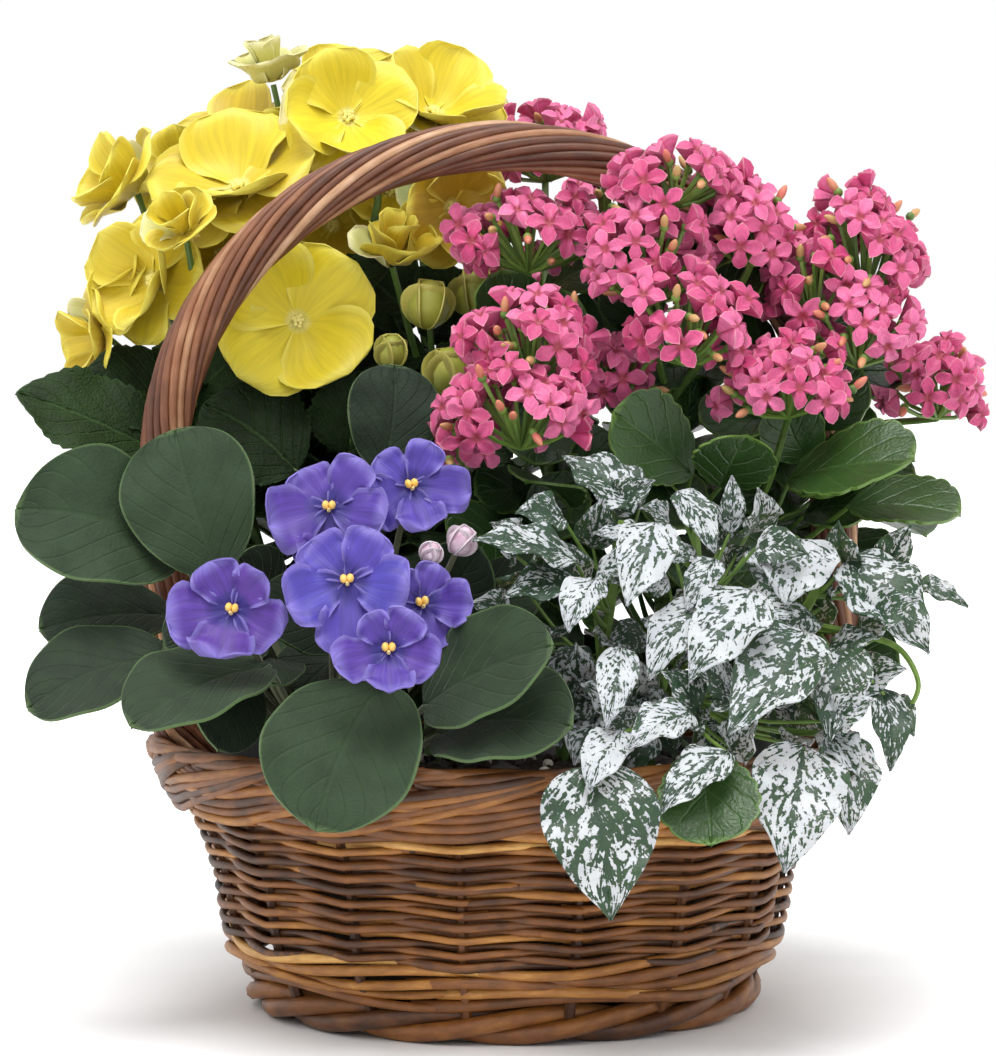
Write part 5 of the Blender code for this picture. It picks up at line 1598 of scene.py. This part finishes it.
@dataclass(frozen=True)
class Kalanchoe:
    """The pink kalanchoe: three leafy stems with fifteen heads of small four-petalled florets."""

    stem_radius: float = 3.2
    floret_radius: float = 8.2
    florets_per_square: float = 0.058
    leaf: Form = Form(
        0.62, 2.6, 0.5, 12, 48, Edge.SCALLOPED,
        cuts=7.0, depth=0.1, cup=0.16, groove=0.8, quilt=0.25, veins=4.0, slant=0.5, ruffle=0.03, waves=1.5,
    )
    whorl: Whorl = Whorl(10, 102.0, 200.0, 42.0, 38.0)
    heads: tuple[tuple[str, tuple[Dome, ...]], ...] = (
        ("back_top", (Dome((16, 76, 308), (23, 20, 18)),)),
        ("inner", (Dome((38, 52, 284), (18, 18, 18)),)),
        ("left", (Dome((9, 2, 272), (28, 20, 18)),)),
        ("centre", (Dome((51, -26, 262), (22, 20, 22)), Dome((63, -41, 241), (20, 19, 21)))),
        ("top", (Dome((60, -20, 292), (23, 18, 14), ((67, 4, 262),)),)),
        ("upper_right", (Dome((87, -14, 274), (16, 16, 18)),)),
        (
            "right",
            (
                Dome((110, -10, 254), (17, 18, 19)),
                Dome((128, -6, 267), (20, 19, 27)),
                Dome((125, -15, 240), (20, 18, 21)),
            ),
        ),
        ("low_right", (Dome((99, -36, 221), (23, 19, 18)),)),
        ("far_right", (Dome((156, 8, 220), (18, 18, 18), ((126, 40, 204),)),)),
        (
            "low_left",
            (
                Dome((9, -37, 233), (23, 19, 20)),
                Dome((6, -50, 211), (23, 19, 19)),
                Dome((-13, -44, 203), (12, 13, 17)),
            ),
        ),
        ("low", (Dome((39, -14, 224), (16, 14, 15)),)),
        ("back", (Dome((52, 98, 262), (26, 21, 20)),)),
        ("back_right", (Dome((98, 74, 264), (23, 21, 20)),)),
        ("back_left", (Dome((10, 116, 256), (21, 19, 18)),)),
        ("back_low", (Dome((134, 62, 232), (20, 19, 19)),)),
    )
    stems: tuple[Stem, ...] = (
        Stem(
            "left", (22, 32), ((18, 22, 165), (16, 16, 210)),
            (
                Leaf((24, -12, 178), (8, -40, 188), 30, (0.0, -0.5, 0.9)),
                Leaf((8, 52, 168), (-6, 92, 160), 38, (0.0, 0.4, 0.9), 0.14),
            ),
            ("left", "low_left", "back_top", "back_left"),
        ),
        Stem(
            "middle", (52, 24), ((60, 16, 165), (60, 12, 215)),
            (
                Leaf((66, -26, 190), (38, -42, 212), 34, (0.0, -0.9, 0.4)),
                Leaf((76, -30, 186), (84, -50, 204), 30, (0.2, -0.9, 0.3)),
                Leaf((64, -124, 104), (66, -148, 76), 34, (0.0, -0.9, 0.35), 0.08, ((60, -60, 102),)),
                Leaf((46, 76, 166), (40, 120, 160), 42, (0.0, 0.4, 0.9), 0.14),
                Leaf((80, 38, 258), (70, 34, 280), 24, (0.1, -0.9, 0.3)),
            ),
            ("centre", "top", "upper_right", "low", "inner", "back"),
        ),
        Stem(
            "right", (72, 28), ((88, 38, 165), (94, 42, 205)),
            (
                Leaf((100, -30, 188), (140, -58, 196), 42, (0.1, -0.7, 0.7)),
                Leaf((122, -14, 178), (160, -26, 176), 40, (0.2, -0.5, 0.8)),
                Leaf((120, 54, 168), (160, 74, 164), 42, (0.3, 0.3, 0.9), 0.14),
                Leaf((86, 84, 168), (98, 126, 160), 42, (0.1, 0.4, 0.9), 0.14),
            ),
            ("right", "low_right", "far_right", "back_right", "back_low"),
        ),
    )
    thickets: tuple[Thicket, ...] = (
        Thicket((-10, 2, 110), (36, 36, 262), 18, 32, 26),
        Thicket((30, -6, 110), (90, 36, 278), 26, 32, 26),
        Thicket((80, -4, 110), (136, 44, 244), 26, 34, 28),
    )

    def floret_star(self) -> None:
        """Models one floret: a disc raised to four levels, then drawn out to a tube and a star."""
        bpy.ops.mesh.primitive_cylinder_add(vertices=24, radius=1.0, depth=1.0, end_fill_type="NGON")
        select_top()
        for _ in range(2):
            bpy.ops.mesh.extrude_region_move(TRANSFORM_OT_translate={"value": (0.0, 0.0, 1.0)})
        bpy.ops.object.mode_set(mode="OBJECT")
        mesh = bpy.context.view_layer.objects.active.data
        points = vertices_of(mesh)
        # The levels are the tube's end, the edge of the petals, their middle, and the throat.
        level = np.round(points[:, 2] + 0.5).astype(int)
        angle = np.arctan2(points[:, 1], points[:, 0])
        # One petal each quarter turn: tip, two broad shoulders and the notch to the next.
        turn = ((angle + math.pi / 4.0) % (math.pi / 2.0)) - math.pi / 4.0
        share = np.abs(turn) / (math.pi / 4.0)
        star = np.interp(share, (0.0, 0.34, 0.67, 1.0), (self.floret_radius, 7.1, 5.5, 2.4))
        flat = 0.0 * star
        radius = np.choose(level, (1.3 + flat, star, 0.55 * star, 0.8 + flat))
        # The middle line of a petal is a shallow channel, and its tip turns back.
        dish = np.interp(share, (0.0, 0.34, 0.67, 1.0), (0.0, 0.9, 1.1, 0.2))
        height = np.choose(level, (-7.0 + flat, dish - 1.6 * (star / 7.8) ** 3, dish, -0.6 + flat))
        # The stencil stays in millimetres, and each copy is brought to metres at its place.
        shaped = np.stack([radius * np.cos(angle), radius * np.sin(angle), height], 1)
        mesh.vertices.foreach_set("co", shaped.astype(np.float32).ravel())
        write_mark(mesh, "along", radius / self.floret_radius)
        write_mark(mesh, "across", np.where(level == 1, 1.0, 0.1))

    def floret(self, place: Matrix, rng: random.Random) -> bpy.types.Object:
        """Makes one floret, a little larger or smaller than the next: a tube that opens into four petals."""
        mesh = STENCILS.copy("floret", self.floret_star)
        grown = Matrix.Scale(rng.uniform(0.86, 1.1), 4)
        write_vertices(mesh, moved(vertices_of(mesh), place @ grown))
        return new_object(dress(mesh, rng.uniform(0.0, 0.9), PINK_PETAL))

    def head(self, domes: Sequence[Dome], rng: random.Random) -> list[bpy.types.Object]:
        """Makes one head: florets and buds spread over its domes, each on a thin stalk."""
        parts, rods = [], []
        for dome in domes:
            centre, size, foot = np.array(dome.centre, float), np.array(dome.size, float), dome.foot()
            count = round(self.florets_per_square * float(size[0] * size[2]))
            total = count + count // 3
            lean = rng.uniform(0.0, math.tau)
            for k in range(total):
                bud = k % 4 == 3
                level = 1.0 - 1.5 * (k + 0.5) / total
                flat = math.sqrt(max(1.0 - level * level, 0.0))
                turn = k * GOLDEN_ANGLE + dome.centre[0]
                out = np.array((flat * math.cos(turn), flat * math.sin(turn), level))
                out += np.array([rng.uniform(-0.1, 0.1) for _ in range(3)])
                out /= np.linalg.norm(out)
                # The head is an uneven bunch, and not a ball: it bulges to some sides.
                bulge = 1.0 + 0.12 * math.sin(3.0 * turn + lean) * flat
                spot = centre + out * size * bulge * rng.uniform(0.76, 1.16 if bud else 1.1)
                if self.buried(spot, dome, domes):
                    continue
                facing = out / size
                facing = facing / np.linalg.norm(facing) + np.array((0.0, -0.4, 0.1)) * (out[1] < 0.3)
                facing += np.array([rng.uniform(-0.55, 0.55) for _ in range(3)])
                place = turn_to(spot, facing, rng.uniform(0.0, 90.0))
                if bud:
                    parts.append(ball(place, (1.5, 1.5, 3.4), rng.uniform(0.1, 0.9), FLORET_BUD))
                else:
                    parts.append(self.floret(place, rng))
                stalk_end, calyx_at = (-3.0, -3.2) if bud else (-7.0, -6.2)
                end = np.array(place @ Vector((0.0, 0.0, stalk_end)))
                middle = foot + (end - foot) * 0.5 + out * 1.5
                rods.append(Rod(np.array([foot, middle, end]), 0.7, 0.9, rng.uniform(0.2, 0.9), 0))
                calyx = place @ Matrix.Translation((0.0, 0.0, calyx_at))
                parts.append(ball(calyx, (1.7, 1.7, 1.9), rng.uniform(0.2, 0.9), YOUNG_LEAF))
        return [*parts, *make_rods(rods, YOUNG_LEAF)]

    def buried(self, spot: np.ndarray, own: Dome, domes: Sequence[Dome]) -> bool:
        """Says whether a point lies well inside another dome of the same head."""
        others = [dome for dome in domes if dome is not own]
        return any(np.linalg.norm((spot - np.array(o.centre)) / np.array(o.size)) < 0.8 for o in others)

    def build(self) -> None:
        """Makes the heads and the leafy stems."""
        rng = random.Random(57)
        first = {name: domes[0] for name, domes in self.heads}
        for name, domes in self.heads:
            node = "kalanchoe_head_" + name
            finish_piece("florets_" + node, self.head(domes, rng), [node])
        for number, (stem, thicket) in enumerate(zip(self.stems, self.thickets)):
            route = stem.route()
            behind = self.whorl.leaves(stem, random.Random(70 + number))
            leaves = [*stem.leaves, *behind, *thicket.leaves(rng)]
            blades, rods = leaf_set(route, leaves, self.leaf, (KALANCHOE_LEAF, GREEN_STALK), 1.4, rng)
            rods.append(Rod(route, self.stem_radius, 0.7 * self.stem_radius, 0.5, 2))
            for name in stem.seats:
                rods.append(flower_stalk(route, first[name].foot(), first[name].via, 1.6, 1.3))
            parts = [thickened(blades, 1.0), *make_rods(rods, GREEN_STALK)]
            node = "kalanchoe_stem_" + stem.name
            finish_piece("foliage_kalanchoe_" + stem.name, parts, [node])


@dataclass(frozen=True)
class Violet:
    """The African violet: a rosette of hairy leaves, six blue flowers and two buds."""

    crown: Point = (-58, -48, 92)
    petal: Form = Form(0.7, 3.8, 0.5, 14, 14, cup=0.1, ruffle=0.2, waves=2.3, groove=0.3, curl=0.1)
    leaf: Form = Form(0.42, 2.6, 0.56, 12, 30, cup=0.16, groove=0.8, quilt=0.4, slant=0.5, ruffle=0.04)
    leaves: tuple[Leaf, ...] = (
        Leaf((-110, -62, 163), (-164, -76, 180), 50, (0.1, -0.85, 0.5), tone=0.6),
        Leaf((-96, -74, 158), (-112, -58, 206), 46, (-0.15, -0.9, 0.35), tone=0.6),
        Leaf((-114, -50, 142), (-158, -62, 138), 36, (-0.2, -0.7, 0.7), tone=0.2),
        Leaf((-110, -78, 130), (-158, -94, 114), 38, (-0.2, -0.7, 0.7), tone=0.3),
        Leaf((-78, -92, 128), (-121, -122, 111), 42, (-0.2, -0.6, 0.8), tone=0.5),
        Leaf((-40, -112, 124), (-60, -144, 80), 52, (0.0, -0.8, 0.6), tone=0.6),
        Leaf((-26, -106, 116), (16, -132, 138), 42, (0.3, -0.75, 0.6), tone=0.5),
        Leaf((-22, -104, 106), (22, -134, 112), 44, (0.2, -0.75, 0.65), tone=0.4),
        Leaf((-42, -34, 192), (-38, -24, 228), 33, (0.1, -0.95, 0.2), tone=0.1),
        Leaf((-84, -22, 118), (-98, 18, 130), 40, (-0.2, 0.5, 0.8)),
        Leaf((-36, -16, 112), (-14, 14, 122), 38, (0.2, 0.4, 0.9)),
    )
    flowers: tuple[Bloom, ...] = (
        Bloom("top", (-58, -90, 181), (0.0, -0.95, 0.3), 21, 6, 0, 0.55),
        Bloom("right", (-31, -82, 188), (0.2, -0.95, 0.25), 18, 6, 10, 0.35),
        Bloom("middle", (-51, -114, 158), (0.0, -0.95, 0.3), 22, 6, 5, 0.15),
        Bloom("left", (-89, -106, 148), (-0.15, -0.95, 0.25), 20, 6, -8, 0.75),
        Bloom("inner_right", (-27, -104, 150), (0.2, -0.95, 0.25), 16, 6, 12, 0.4),
        Bloom("low", (-37, -132, 137), (0.05, -0.95, 0.3), 17, 6, 0, 0.6),
    )
    buds: tuple[tuple[Point, float], ...] = (((-14, -93, 170), 5.5), ((-24, -96, 166), 4.0))
    # These leaves take only the darkest greens: painted shade where the rosette shades the inside of the
    # basket.
    thicket: Thicket = Thicket((-110, -76, 100), (4, -30, 154), 18, 36, 30, (0.0, 0.2))

    def flower(self, flower: Bloom, rng: random.Random) -> list[bpy.types.Object]:
        """Makes a flower: five rounded lobes, the lower three broader, and two anthers."""
        sheets = []
        for k in range(5):
            angle = math.radians(-90.0 + 72.0 * k)
            long, wide = (0.86, 0.4) if k in (2, 3) else (1.04, 0.54)
            length = flower.radius * long * rng.uniform(0.92, 1.1)
            size = (length, flower.radius * wide * rng.uniform(0.85, 1.1))
            lift = flower.lift + rng.uniform(-12.0, 26.0)
            sheets.append(petal(flower, angle, lift, size, self.petal, BLUE_PETAL, rng))
        parts = [thickened(sheets, 0.6)]
        place = turn_to(flower.centre, flower.axis, flower.spin)
        for x, y in ((-1.1, 0.4), (1.1, 0.4)):
            parts.append(ball(place @ Matrix.Translation((x, y, 1.9)), (1.25, 1.6, 1.3), 0.3, ANTHER))
        parts.append(ball(place @ Matrix.Translation((0.0, -1.4, 1.7)), (0.7, 0.7, 2.2), 0.9, ANTHER))
        return parts

    def build(self) -> None:
        """Makes the flowers and the rosette."""
        rng = random.Random(83)
        crown = np.array(self.crown, float)
        for flower in self.flowers:
            node = "violet_flower_" + flower.name
            finish_piece("petals_" + node, self.flower(flower, rng), [node])
        rods = [Rod(np.array([(crown[0], crown[1], HOLE_FLOOR), crown]), 6.0, 5.0, 0.2, 2)]
        leaves = [*self.leaves, *self.thicket.leaves(rng)]
        blades, stalks = leaf_set(crown[None, :], leaves, self.leaf, (VIOLET_LEAF, DARK_STALK), 1.8, rng)
        for flower in self.flowers:
            rods.append(flower_stalk(crown[None, :], flower.seat(), flower.via, 1.4, 1.1))
        buds = []
        for centre, half_height in self.buds:
            rods.append(flower_stalk(crown[None, :], np.array(centre, float), (), 1.3, 1.0))
            buds += closed_bud(centre, (0.5, -0.35, 0.8), half_height, (MAGENTA_BUD, BUD_CORE), rng)
        parts = [thickened(blades, 1.0), *make_rods(rods + stalks, DARK_STALK), *buds]
        finish_piece("foliage_violet", parts, ["violet_rosette"])


@dataclass(frozen=True)
class PolkaDot:
    """The polka-dot plant: four thin stems with small leaves splashed white and green."""

    stem_radius: float = 2.2
    leaf: Form = Form(0.45, 1.35, 1.1, 10, 30, cup=0.24, groove=0.6, quilt=0.8, ruffle=0.17, waves=2.4)
    thickets: tuple[Thicket, ...] = (
        Thicket((-6, -96, 112), (46, -62, 188), 15, 22, 16, (0.3, 1.0)),
        Thicket((40, -104, 104), (94, -66, 184), 18, 20, 15, (0.2, 1.0)),
        Thicket((84, -92, 104), (136, -52, 172), 16, 22, 16, (0.4, 1.0)),
        Thicket((10, -122, 99), (118, -84, 130), 26, 21, 15, (0.2, 0.9)),
    )
    curls: tuple[tuple[Point, ...], ...] = (
        (
            (108, -74, 140), (121, -85, 138), (133, -85, 133),
            (139, -85, 121), (133, -85, 111), (126, -84, 116),
        ),
        ((100, -70, 128), (114, -86, 126), (124, -88, 122), (128, -86, 114), (124, -84, 108)),
    )
    stems: tuple[Stem, ...] = (
        Stem(
            "left", (28, -50), ((36, -72, 145), (40, -78, 176)),
            (
                Leaf((46, -72, 180), (20, -62, 197), 22, tone=0.7),
                Leaf((50, -78, 168), (30, -84, 172), 14, tone=0.2),
                Leaf((24, -95, 163), (-10, -110, 171), 20, tone=0.7),
                Leaf((28, -96, 154), (0, -110, 152), 20, tone=0.8),
                Leaf((30, -112, 158), (21, -126, 142), 15, tone=0.1),
                Leaf((38, -116, 136), (33, -136, 112), 14, (0.0, -0.8, 0.6), tone=0.1),
            ),
        ),
        Stem(
            "middle", (50, -50), ((64, -80, 145), (64, -88, 178)),
            (
                Leaf((58, -88, 186), (70, -98, 166), 13, tone=0.3),
                Leaf((76, -78, 172), (77, -74, 191), 9, tone=0.5),
                Leaf((50, -100, 176), (40, -120, 150), 21, tone=0.2),
                Leaf((70, -102, 164), (60, -112, 148), 12, tone=0.3),
                Leaf((66, -108, 150), (47, -122, 126), 18, tone=0.1),
                Leaf((82, -106, 154), (60, -128, 126), 26, tone=0.2),
                Leaf((82, -84, 166), (92, -92, 156), 10, tone=0.4),
            ),
        ),
        Stem(
            "right", (68, -38), ((100, -60, 140), (110, -68, 160)),
            (
                Leaf((99, -90, 170), (93, -106, 149), 28, tone=0.0),
                Leaf((116, -72, 162), (142, -88, 132), 30, (0.3, -0.8, 0.5), tone=0.6),
                Leaf((142, -58, 154), (158, -64, 146), 10, tone=0.8),
                Leaf((100, -106, 140), (72, -136, 110), 30, tone=0.5),
                Leaf((112, -94, 134), (106, -122, 106), 23, tone=0.8),
                Leaf((126, -86, 120), (128, -100, 94), 14, (0.3, -0.8, 0.5), tone=0.9),
            ),
        ),
        Stem(
            "front", (42, -66), ((52, -90, 112), (58, -104, 120)),
            (
                Leaf((60, -128, 116), (40, -142, 106), 18, tone=0.1),
                Leaf((38, -130, 110), (27, -146, 92), 16, tone=0.0),
                Leaf((28, -136, 100), (34, -150, 52), 38, (0.0, -0.95, 0.25), tone=0.6),
                Leaf((72, -136, 104), (50, -150, 86), 17, tone=0.5),
                Leaf((98, -118, 104), (90, -142, 66), 32, (0.1, -0.9, 0.35), tone=0.2),
                Leaf((112, -104, 106), (112, -124, 76), 22, (0.3, -0.85, 0.4), tone=0.5),
            ),
        ),
    )

    def build(self) -> None:
        """Makes the leafy stems."""
        rng = random.Random(101)
        for stem, thicket in zip(self.stems, self.thickets):
            route = stem.route()
            leaves = [*stem.leaves, *thicket.leaves(rng)]
            blades, rods = leaf_set(route, leaves, self.leaf, (SPLASHED_LEAF, YOUNG_LEAF), 0.9, rng)
            if stem.name == "right":
                rods += [Rod(smooth_route(curl), 1.3, 0.8, 0.7, 1) for curl in self.curls]
            rods.append(Rod(route, self.stem_radius, 0.7 * self.stem_radius, 0.6, 1))
            parts = [thickened(blades, 0.6), *make_rods(rods, YOUNG_LEAF)]
            finish_piece("foliage_splash_" + stem.name, parts, ["splash_stem_" + stem.name])


# ---------------------------------------------------------------- studio


@dataclass(frozen=True)
class Studio:
    """A plain white floor, soft light from above and in front, and the camera."""

    camera: Point = (-1.8, -1300.0, 230.0)
    target: Point = (-1.8, 0.0, 170.0)
    lens: float = 124.1
    sensor: float = 36.0
    floor_radius: float = 14.0
    sky_strength: float = 1.0
    sun_from: Point = (-0.04, -0.5, 1.35)
    sun_strength: float = 2.6
    sun_spread: float = math.radians(38.0)

    def floor(self) -> None:
        """Adds the floor, in metres, left off the frame that the object's pieces are put on."""
        bpy.ops.object.select_all(action="DESELECT")
        bpy.ops.mesh.primitive_circle_add(vertices=96, radius=self.floor_radius, fill_type="TRIFAN")
        floor = bpy.context.view_layer.objects.active
        bpy.ops.object.transform_apply(location=True, rotation=True, scale=True)
        floor.name = "studio_floor"
        dress(floor.data, 0.0, WHITE_FLOOR)

    def lights(self) -> None:
        """Adds a white sky, and a broad soft sun that lights all the floor alike."""
        sky = bpy.data.worlds.new("soft white studio")
        sky.use_nodes = True
        background = sky.node_tree.nodes["Background"]
        background.inputs["Color"].default_value = (1.0, 1.0, 1.0, 1.0)
        background.inputs["Strength"].default_value = self.sky_strength
        bpy.context.scene.world = sky
        lamp = bpy.data.lights.new("key", "SUN")
        lamp.energy = self.sun_strength
        lamp.angle = self.sun_spread
        new_object(lamp, "key").rotation_euler = Vector(self.sun_from).to_track_quat("Z", "Y").to_euler()
        bpy.context.scene.view_settings.view_transform = "Standard"

    def build(self) -> None:
        """Makes the floor, the lights and the camera."""
        self.floor()
        self.lights()
        lens = bpy.data.cameras.new("camera")
        lens.lens = self.lens
        lens.sensor_width = self.sensor
        camera = new_object(lens, "camera")
        place, aim = Vector(self.camera) * MM, Vector(self.target) * MM
        camera.location = place
        camera.rotation_euler = (aim - place).to_track_quat("-Z", "Y").to_euler()
        bpy.context.scene.camera = camera


def main() -> None:
    """Builds the scene in order."""
    logging.basicConfig(level=logging.INFO, format="%(name)s: %(message)s")
    for assembly in (Studio(), Basket(), Handle(), Filling(), Begonia(), Kalanchoe(), Violet(), PolkaDot()):
        assembly.build()
        LOG.info("%s is built", type(assembly).__name__)
    STENCILS.discard()


if __name__ == "__main__":
    main()
